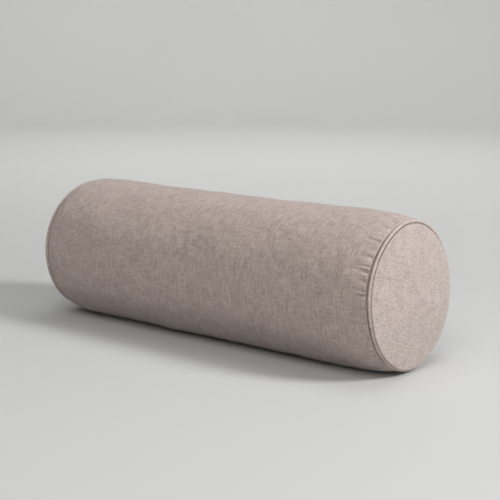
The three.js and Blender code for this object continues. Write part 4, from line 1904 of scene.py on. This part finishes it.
@dataclass
class Insert:
    """The filling: a calico case over wadding round a foam core."""

    cloth: Cloth
    wardrobe: Wardrobe
    relief: Relief
    columns: int = 224
    case_radius: float = 98.9 * MM
    case_end_x: float = 274 * MM
    case_end_radius: float = 91 * MM
    calico: float = 0.6 * MM
    zip_flat: float = 91.1 * MM
    shoulder_start: float = 239 * MM
    foam_radius: float = 83 * MM
    foam_half: float = 271 * MM
    allowance: float = 10 * MM
    crown_x: float = 297.9 * MM
    gap: float = 0.3 * MM

    def drum(self, depth: float, end_inner: float) -> np.ndarray:
        """Outline of the drum at a depth under the case's skin, from the left rim to the right one.

        Args:
            depth: how far under the skin.
            end_inner: the radius at which its end walls stop.

        Returns:
            Points of distance along the axis and radius.
        """
        end_x, end_r = self.case_end_x - depth, self.case_end_radius - depth
        radius = self.case_radius - depth
        reach = end_x - self.shoulder_start
        straight = [(self.shoulder_start * k / 60, radius) for k in range(60)]
        bend = [(self.shoulder_start + reach * math.sin(t), end_r + (radius - end_r) * math.cos(t))
                for t in np.linspace(0, math.pi / 2, 40)]
        wall = [(end_x, r) for r in np.linspace(end_r, end_inner, 12)[1:]]
        fine = np.array(straight + bend + wall)
        half = evenly(fine, lambda s: 5 * MM if s < self.shoulder_start else 2 * MM)
        return mirrored(half)

    def lay(
        self, outline: np.ndarray, angle: np.ndarray, depth: float, rough: float, seed: int,
    ) -> np.ndarray:
        """Points of a turned layer, pressed and uneven as the filling is.

        Args:
            outline: the layer's outline.
            angle: the angles of its columns.
            depth: how far under the case's skin it lies.
            rough: size of its own small unevenness.
            seed: seed of that unevenness.

        Returns:
            The points in the row frame.
        """
        x, radius = outline[:, :1], outline[:, 1:]
        free = smoothstep(0, 40 * MM, self.case_end_x - np.abs(x))
        free = free * smoothstep(0.8, 0.95, radius / self.case_radius)
        girth = TAU * self.case_radius
        own = Ripple(rough, 12 * MM, 60 * MM, girth, seed=seed).at(angle[None, :], x)
        radius = radius + free * (self.relief.soft(angle[None, :], x) + own - 0.25 * MM)
        points = self.cloth.place(x, radius, angle[None, :])
        points = self.cloth.press_zip(points, self.zip_flat - depth, 0.8 * MM)
        points = self.cloth.press(points, self.cloth.layout.linen + self.gap + depth)
        return self.cloth.settle(points)

    def build(self) -> list[bpy.types.Object]:
        """Fills the cover.

        Returns:
            The insert's pieces, from the case inwards.
        """
        pieces = [self.build_case()]
        for end in End:
            pieces.append(self.build_case_end(end))
        pieces.append(self.build_wrap())
        for end in End:
            pieces.append(self.build_wadding_end(end))
        pieces.append(self.build_foam())
        return pieces

    def finish(self, piece: bpy.types.Object, slot: Slot, node: str, fill: float) -> bpy.types.Object:
        """Args:
            piece: the piece.
            slot: the record's slot that it takes its finish from.
            node: the CAD node that it stands for.
            fill: how tight it is, from 0 to 1. It is not used.

        Returns:
            The same piece.
        """
        self.wardrobe.dress(piece, slot, "pillow", [node])
        return piece

    def turned_uv(self, outline: np.ndarray) -> np.ndarray:
        """Cloth coordinates of a turned layer.

        Args:
            outline: the layer's outline.

        Returns:
            Rows by columns of coordinates, with one more column than the layer has.
        """
        around = round_angles(self.columns, True) * self.case_radius
        return np.stack(np.broadcast_arrays(around[None, :], arc_length(outline)[:, None]), -1)

    def build_case(self) -> bpy.types.Object:
        """Sews the case's barrel.

        Returns:
            The case's barrel.
        """
        half = self.calico / 2
        outline = self.drum(half, self.case_end_radius - self.allowance)
        points = self.lay(outline, round_angles(self.columns), half, 0.05 * MM, 71)
        piece = grid_mesh("case_barrel", points, self.turned_uv(outline), wrap=True, flip=True)
        thicken(piece, self.calico)
        return self.finish(piece, Slot.CALICO, "inner_case_barrel", 0.8)

    def build_case_end(self, end: End) -> bpy.types.Object:
        """Cuts and domes one end of the case.

        Args:
            end: which end.

        Returns:
            The case's end.
        """
        half = self.calico / 2
        crown = self.crown_x - half
        edge = self.case_end_x + self.gap + half
        share = np.linspace(1, 0.03, 40)
        x = crown - (crown - edge) * share**2
        outline = np.stack([end.value * x, self.case_end_radius * share], 1)
        swell = Ripple(0.12 * MM, 30 * MM, 90 * MM, TAU * self.case_end_radius, seed=75 + end.value)
        angle = round_angles(self.columns)
        free = smoothstep(0, 0.3, share) * smoothstep(0, 0.2, 1 - share)
        lift = swell.at(angle[None, :], outline[:, 1:]) * free[:, None]
        points = self.cloth.settle(self.cloth.place(
            outline[:, :1] - end.value * np.abs(lift), outline[:, 1:], angle[None, :]))
        tip = self.cloth.settle(np.array([[end.value * crown, 0.0, 0.0]]))[0]
        piece = grid_mesh(f"case_end_{end.word}", points, self.turned_uv(outline), wrap=True,
                          pole=Vector(tip), flip=end is End.LEFT)
        thicken(piece, self.calico)
        return self.finish(piece, Slot.CALICO, f"inner_case_end_{end.word}", 0.7)

    def build_wrap(self) -> bpy.types.Object:
        """Wraps the wadding once round the foam, its edges butted along the top.

        Returns:
            The wadding's wrap.
        """
        depth = self.calico + self.gap
        outer = self.drum(depth, self.foam_radius + self.gap)
        reach = outer[-1, 0]
        inner_x = np.linspace(reach, -reach, 60)[1:-1]
        bore = np.stack([inner_x, np.full_like(inner_x, self.foam_radius + self.gap)], 1)
        outline = np.concatenate([outer, bore])
        top = -(math.pi / 2 - math.atan2(self.cloth.layout.zip_out.z, self.cloth.layout.zip_out.y))
        slit = 0.3 * MM / self.foam_radius
        angle = top + slit + (TAU - 2 * slit) * np.linspace(0, 1, self.columns)
        points = self.lay(outline, angle, depth, 0.35 * MM, 72)
        rows, columns = points.shape[:2]
        faces = []
        for r in range(rows):
            here, beyond = r * columns, ((r + 1) % rows) * columns
            faces.extend([here + c, beyond + c, beyond + c + 1, here + c + 1] for c in range(columns - 1))
        faces.append([r * columns for r in range(rows)])
        faces.append([r * columns + columns - 1 for r in range(rows)][::-1])
        piece = join_meshes("wadding_roll", [(points.reshape(-1, 3), faces)])
        return self.finish(piece, Slot.WADDING, "wadding_wrap", 0.6)

    def build_wadding_end(self, end: End) -> bpy.types.Object:
        """Cuts the wadding disc that rounds one end.

        Args:
            end: which end.

        Returns:
            The disc.
        """
        rim = self.case_end_radius - self.allowance - self.gap
        ease = 0.8 * MM
        crown = self.crown_x - self.calico - ease
        edge = self.case_end_x + self.gap - ease
        share = np.linspace(1, 0.03, 34)
        radius = rim * share
        face = crown - (crown - edge) * (radius / self.case_end_radius) ** 2
        back = self.foam_half + self.gap
        corner = [(back, rim * s) for s in np.linspace(0.03, 1, 14)]
        side = [(back + (face[0] - back) * s, rim) for s in np.linspace(0, 1, 5)[1:-1]]
        outline = np.array(corner + side + list(zip(face, radius)))
        outline[:, 0] *= end.value
        angle = round_angles(128)
        tuft = Ripple(0.25 * MM, 9 * MM, 40 * MM, TAU * rim, seed=77 + end.value)
        calm = smoothstep(0, 0.35, outline[:, 1:] / rim)
        in_front = np.abs(outline[:, :1]) > back + 1 * MM
        sunk = np.abs(tuft.at(angle[None, :], outline[:, 1:])) * calm * in_front
        x = outline[:, :1] - end.value * sunk
        points = self.cloth.settle(self.cloth.place(x, outline[:, 1:], angle[None, :]))
        piece = lofted(f"wadding_disc_{end.word}", points)
        return self.finish(piece, Slot.WADDING, f"wadding_end_{end.word}", 0.5)

    def build_foam(self) -> bpy.types.Object:
        """Turns the foam core, its cut edges a little crushed.

        Returns:
            The core.
        """
        crush = 3 * MM
        corner_x, corner_r = self.foam_half - crush, self.foam_radius - crush
        corner = [(corner_x + crush * math.sin(t), corner_r + crush * math.cos(t))
                  for t in np.linspace(0, math.pi / 2, 7)]
        straight = [(x, self.foam_radius) for x in np.linspace(0, self.foam_half - crush, 34)[:-1]]
        wall = [(self.foam_half, r) for r in np.linspace(self.foam_radius - crush, 3 * MM, 16)[1:]]
        half = np.array(straight + corner + wall)
        outline = mirrored(half)
        angle = round_angles(160)
        dimple = Ripple(0.12 * MM, 10 * MM, 60 * MM, TAU * self.foam_radius, seed=79)
        on_barrel = outline[:, 1:] > 50 * MM
        radius = outline[:, 1:] - np.abs(dimple.at(angle[None, :], outline[:, :1])) * on_barrel
        points = self.cloth.settle(self.cloth.place(outline[:, :1], radius, angle[None, :]))
        piece = lofted("foam_block", points)
        return self.finish(piece, Slot.FOAM, "foam_core", 1.0)


# Studio


@dataclass(frozen=True)
class Lamp:
    """A round soft light: its place from the bolster, where it points, its width and power."""

    name: str
    place: Vector
    aim: Vector
    size: float
    power: float

    def hang(self, centre: Vector) -> None:
        """Hangs the lamp.

        Args:
            centre: the middle of the bolster.
        """
        data = bpy.data.lights.new(self.name, "AREA")
        data.shape = "DISK"
        data.size = self.size
        data.energy = self.power
        light = linked(self.name, data)
        light.location = centre + self.place
        light.rotation_euler = self.aim.to_track_quat("-Z", "Y").to_euler()


@dataclass
class Studio:
    """A pale seamless round sweep, its soft lamps and the camera."""

    layout: Layout
    azimuth: float = math.radians(39.89)
    elevation: float = math.radians(10.63)
    distance: float = 1.722
    lens: float = 90.36
    aside: float = 0.0212
    above: float = 0.0231
    floor_radius: float = 3.4
    floor_bend: float = 1.5
    wall_height: float = 2.4
    floor_drop: float = 0.2 * MM
    sky: float = 0.28
    paper_dark: tuple[float, float, float] = (0.525, 0.529, 0.521)
    paper_light: tuple[float, float, float] = (0.575, 0.579, 0.571)

    def build(self) -> None:
        """Sets the whole studio up."""
        self.build_sweep()
        self.build_lights()
        self.build_camera()

    def directions(self) -> tuple[Vector, Vector, Vector]:
        """The camera's backward, rightward and upward directions.

        Returns:
            Three unit vectors.
        """
        az, el = self.azimuth, self.elevation
        back = Vector((math.sin(az) * math.cos(el), -math.cos(az) * math.cos(el), math.sin(el)))
        right = Vector((math.cos(az), math.sin(az), 0))
        return back, right, back.cross(right)

    def build_camera(self) -> None:
        """Places the camera a little above the bolster, in front of its right end."""
        back, right, up = self.directions()
        data = bpy.data.cameras.new("camera")
        data.lens = self.lens
        data.sensor_width = 36
        camera = linked("camera", data)
        centre = Vector((0, 0, self.layout.axis_z))
        camera.location = centre + back * self.distance + right * self.aside + up * self.above
        camera.rotation_euler = Matrix((right, up, back)).transposed().to_euler()
        bpy.context.scene.camera = camera

    def build_sweep(self) -> None:
        """Lays the round floor, which curves up into a low wall all round."""
        shader = Shader("studio_paper")
        place = shader.object_coordinates()
        grain = shader.noise(shader.scaled(place, (400, 400, 400)), 2)
        drift = shader.noise(shader.scaled(place, (1.1, 1.1, 1.1)), 1)
        tone = shader.math("MULTIPLY_ADD", grain, 0.3, shader.math("MULTIPLY", drift, 0.7))
        shader.feed("Base Color", shader.mix(tone, self.paper_dark, self.paper_light))
        shader.bump(grain, 0.05 * MM)
        shader.set(Roughness=0.85, Specular_IOR_Level=0.2)
        reach, rise = self.floor_radius, self.floor_bend
        bend = [(reach + rise * math.sin(t), rise - rise * math.cos(t))
                for t in np.linspace(0, math.pi / 2, 24)]
        wall = [(self.floor_radius + self.floor_bend, self.wall_height)]
        profile = np.array(wall + bend[::-1] + [(r, 0.0) for r in (2.4, 1.2, 0.4)])
        turn = round_angles(128)
        points = np.stack([
            profile[:, :1] * np.cos(turn),
            profile[:, :1] * np.sin(turn),
            profile[:, 1:] - self.floor_drop + 0 * turn,
        ], -1)
        uv = np.zeros((len(profile), 129, 2))
        middle = Vector((0, 0, -self.floor_drop))
        sweep = grid_mesh("studio_sweep", points, uv, wrap=True, pole=middle)
        sweep.data.materials.append(shader.material)

    def build_lights(self) -> None:
        """Hangs the key light at the right and a broad fill, with soft light from all round."""
        world = bpy.data.worlds.new("studio")
        world.use_nodes = True
        world.node_tree.nodes["Background"].inputs[0].default_value = (1, 1, 1, 1)
        world.node_tree.nodes["Background"].inputs[1].default_value = self.sky
        bpy.context.scene.world = world
        bpy.context.scene.view_settings.view_transform = "Standard"
        back, right, _ = self.directions()
        front = Vector((back.x, back.y, 0)).normalized()
        rise = Vector((0, 0, 1))
        key = right * 2.6 + front * 1.2 + rise * 2.0
        top = right * 0.3 - front * 0.3 + rise * 2.4
        fill = -right * 0.5 + front * 2.4 + rise * 2.6
        low = right * 1.0 + front * 2.6 + rise * 0.9
        wash = -front * 1.7 + rise * 2.4
        lamps = (
            Lamp("key", key, -key, 0.9, 88.0),
            Lamp("top", top, -top, 1.4, 12.0),
            Lamp("fill", fill, -fill, 2.2, 36.5),
            Lamp("low", low, -low, 1.4, 7.5),
            Lamp("wash", wash, -front - rise * 0.55, 1.6, 56.0),
        )
        for lamp in lamps:
            lamp.hang(Vector((0, 0, self.layout.axis_z)))


def main() -> None:
    """Builds the studio and then the bolster, from its cover inwards."""
    logging.basicConfig(level=logging.INFO, format="%(name)s: %(message)s")
    layout = Layout.from_frame()
    cloth = Cloth(layout)
    wardrobe = Wardrobe()
    relief = Relief(layout)
    Studio(layout).build()
    BarrelCover(cloth, wardrobe, relief).build()
    for end in End:
        EndDisc(cloth, wardrobe, end).build()
        Piping(cloth, wardrobe, end).build()
        SeamThreads(cloth, wardrobe, end).build()
    for side in Side:
        ZipSide(cloth, wardrobe, side).build()
    BottomStop(cloth, wardrobe).build()
    Slider(cloth, wardrobe).build()
    Insert(cloth, wardrobe, relief).build()


if __name__ == "__main__":
    main()
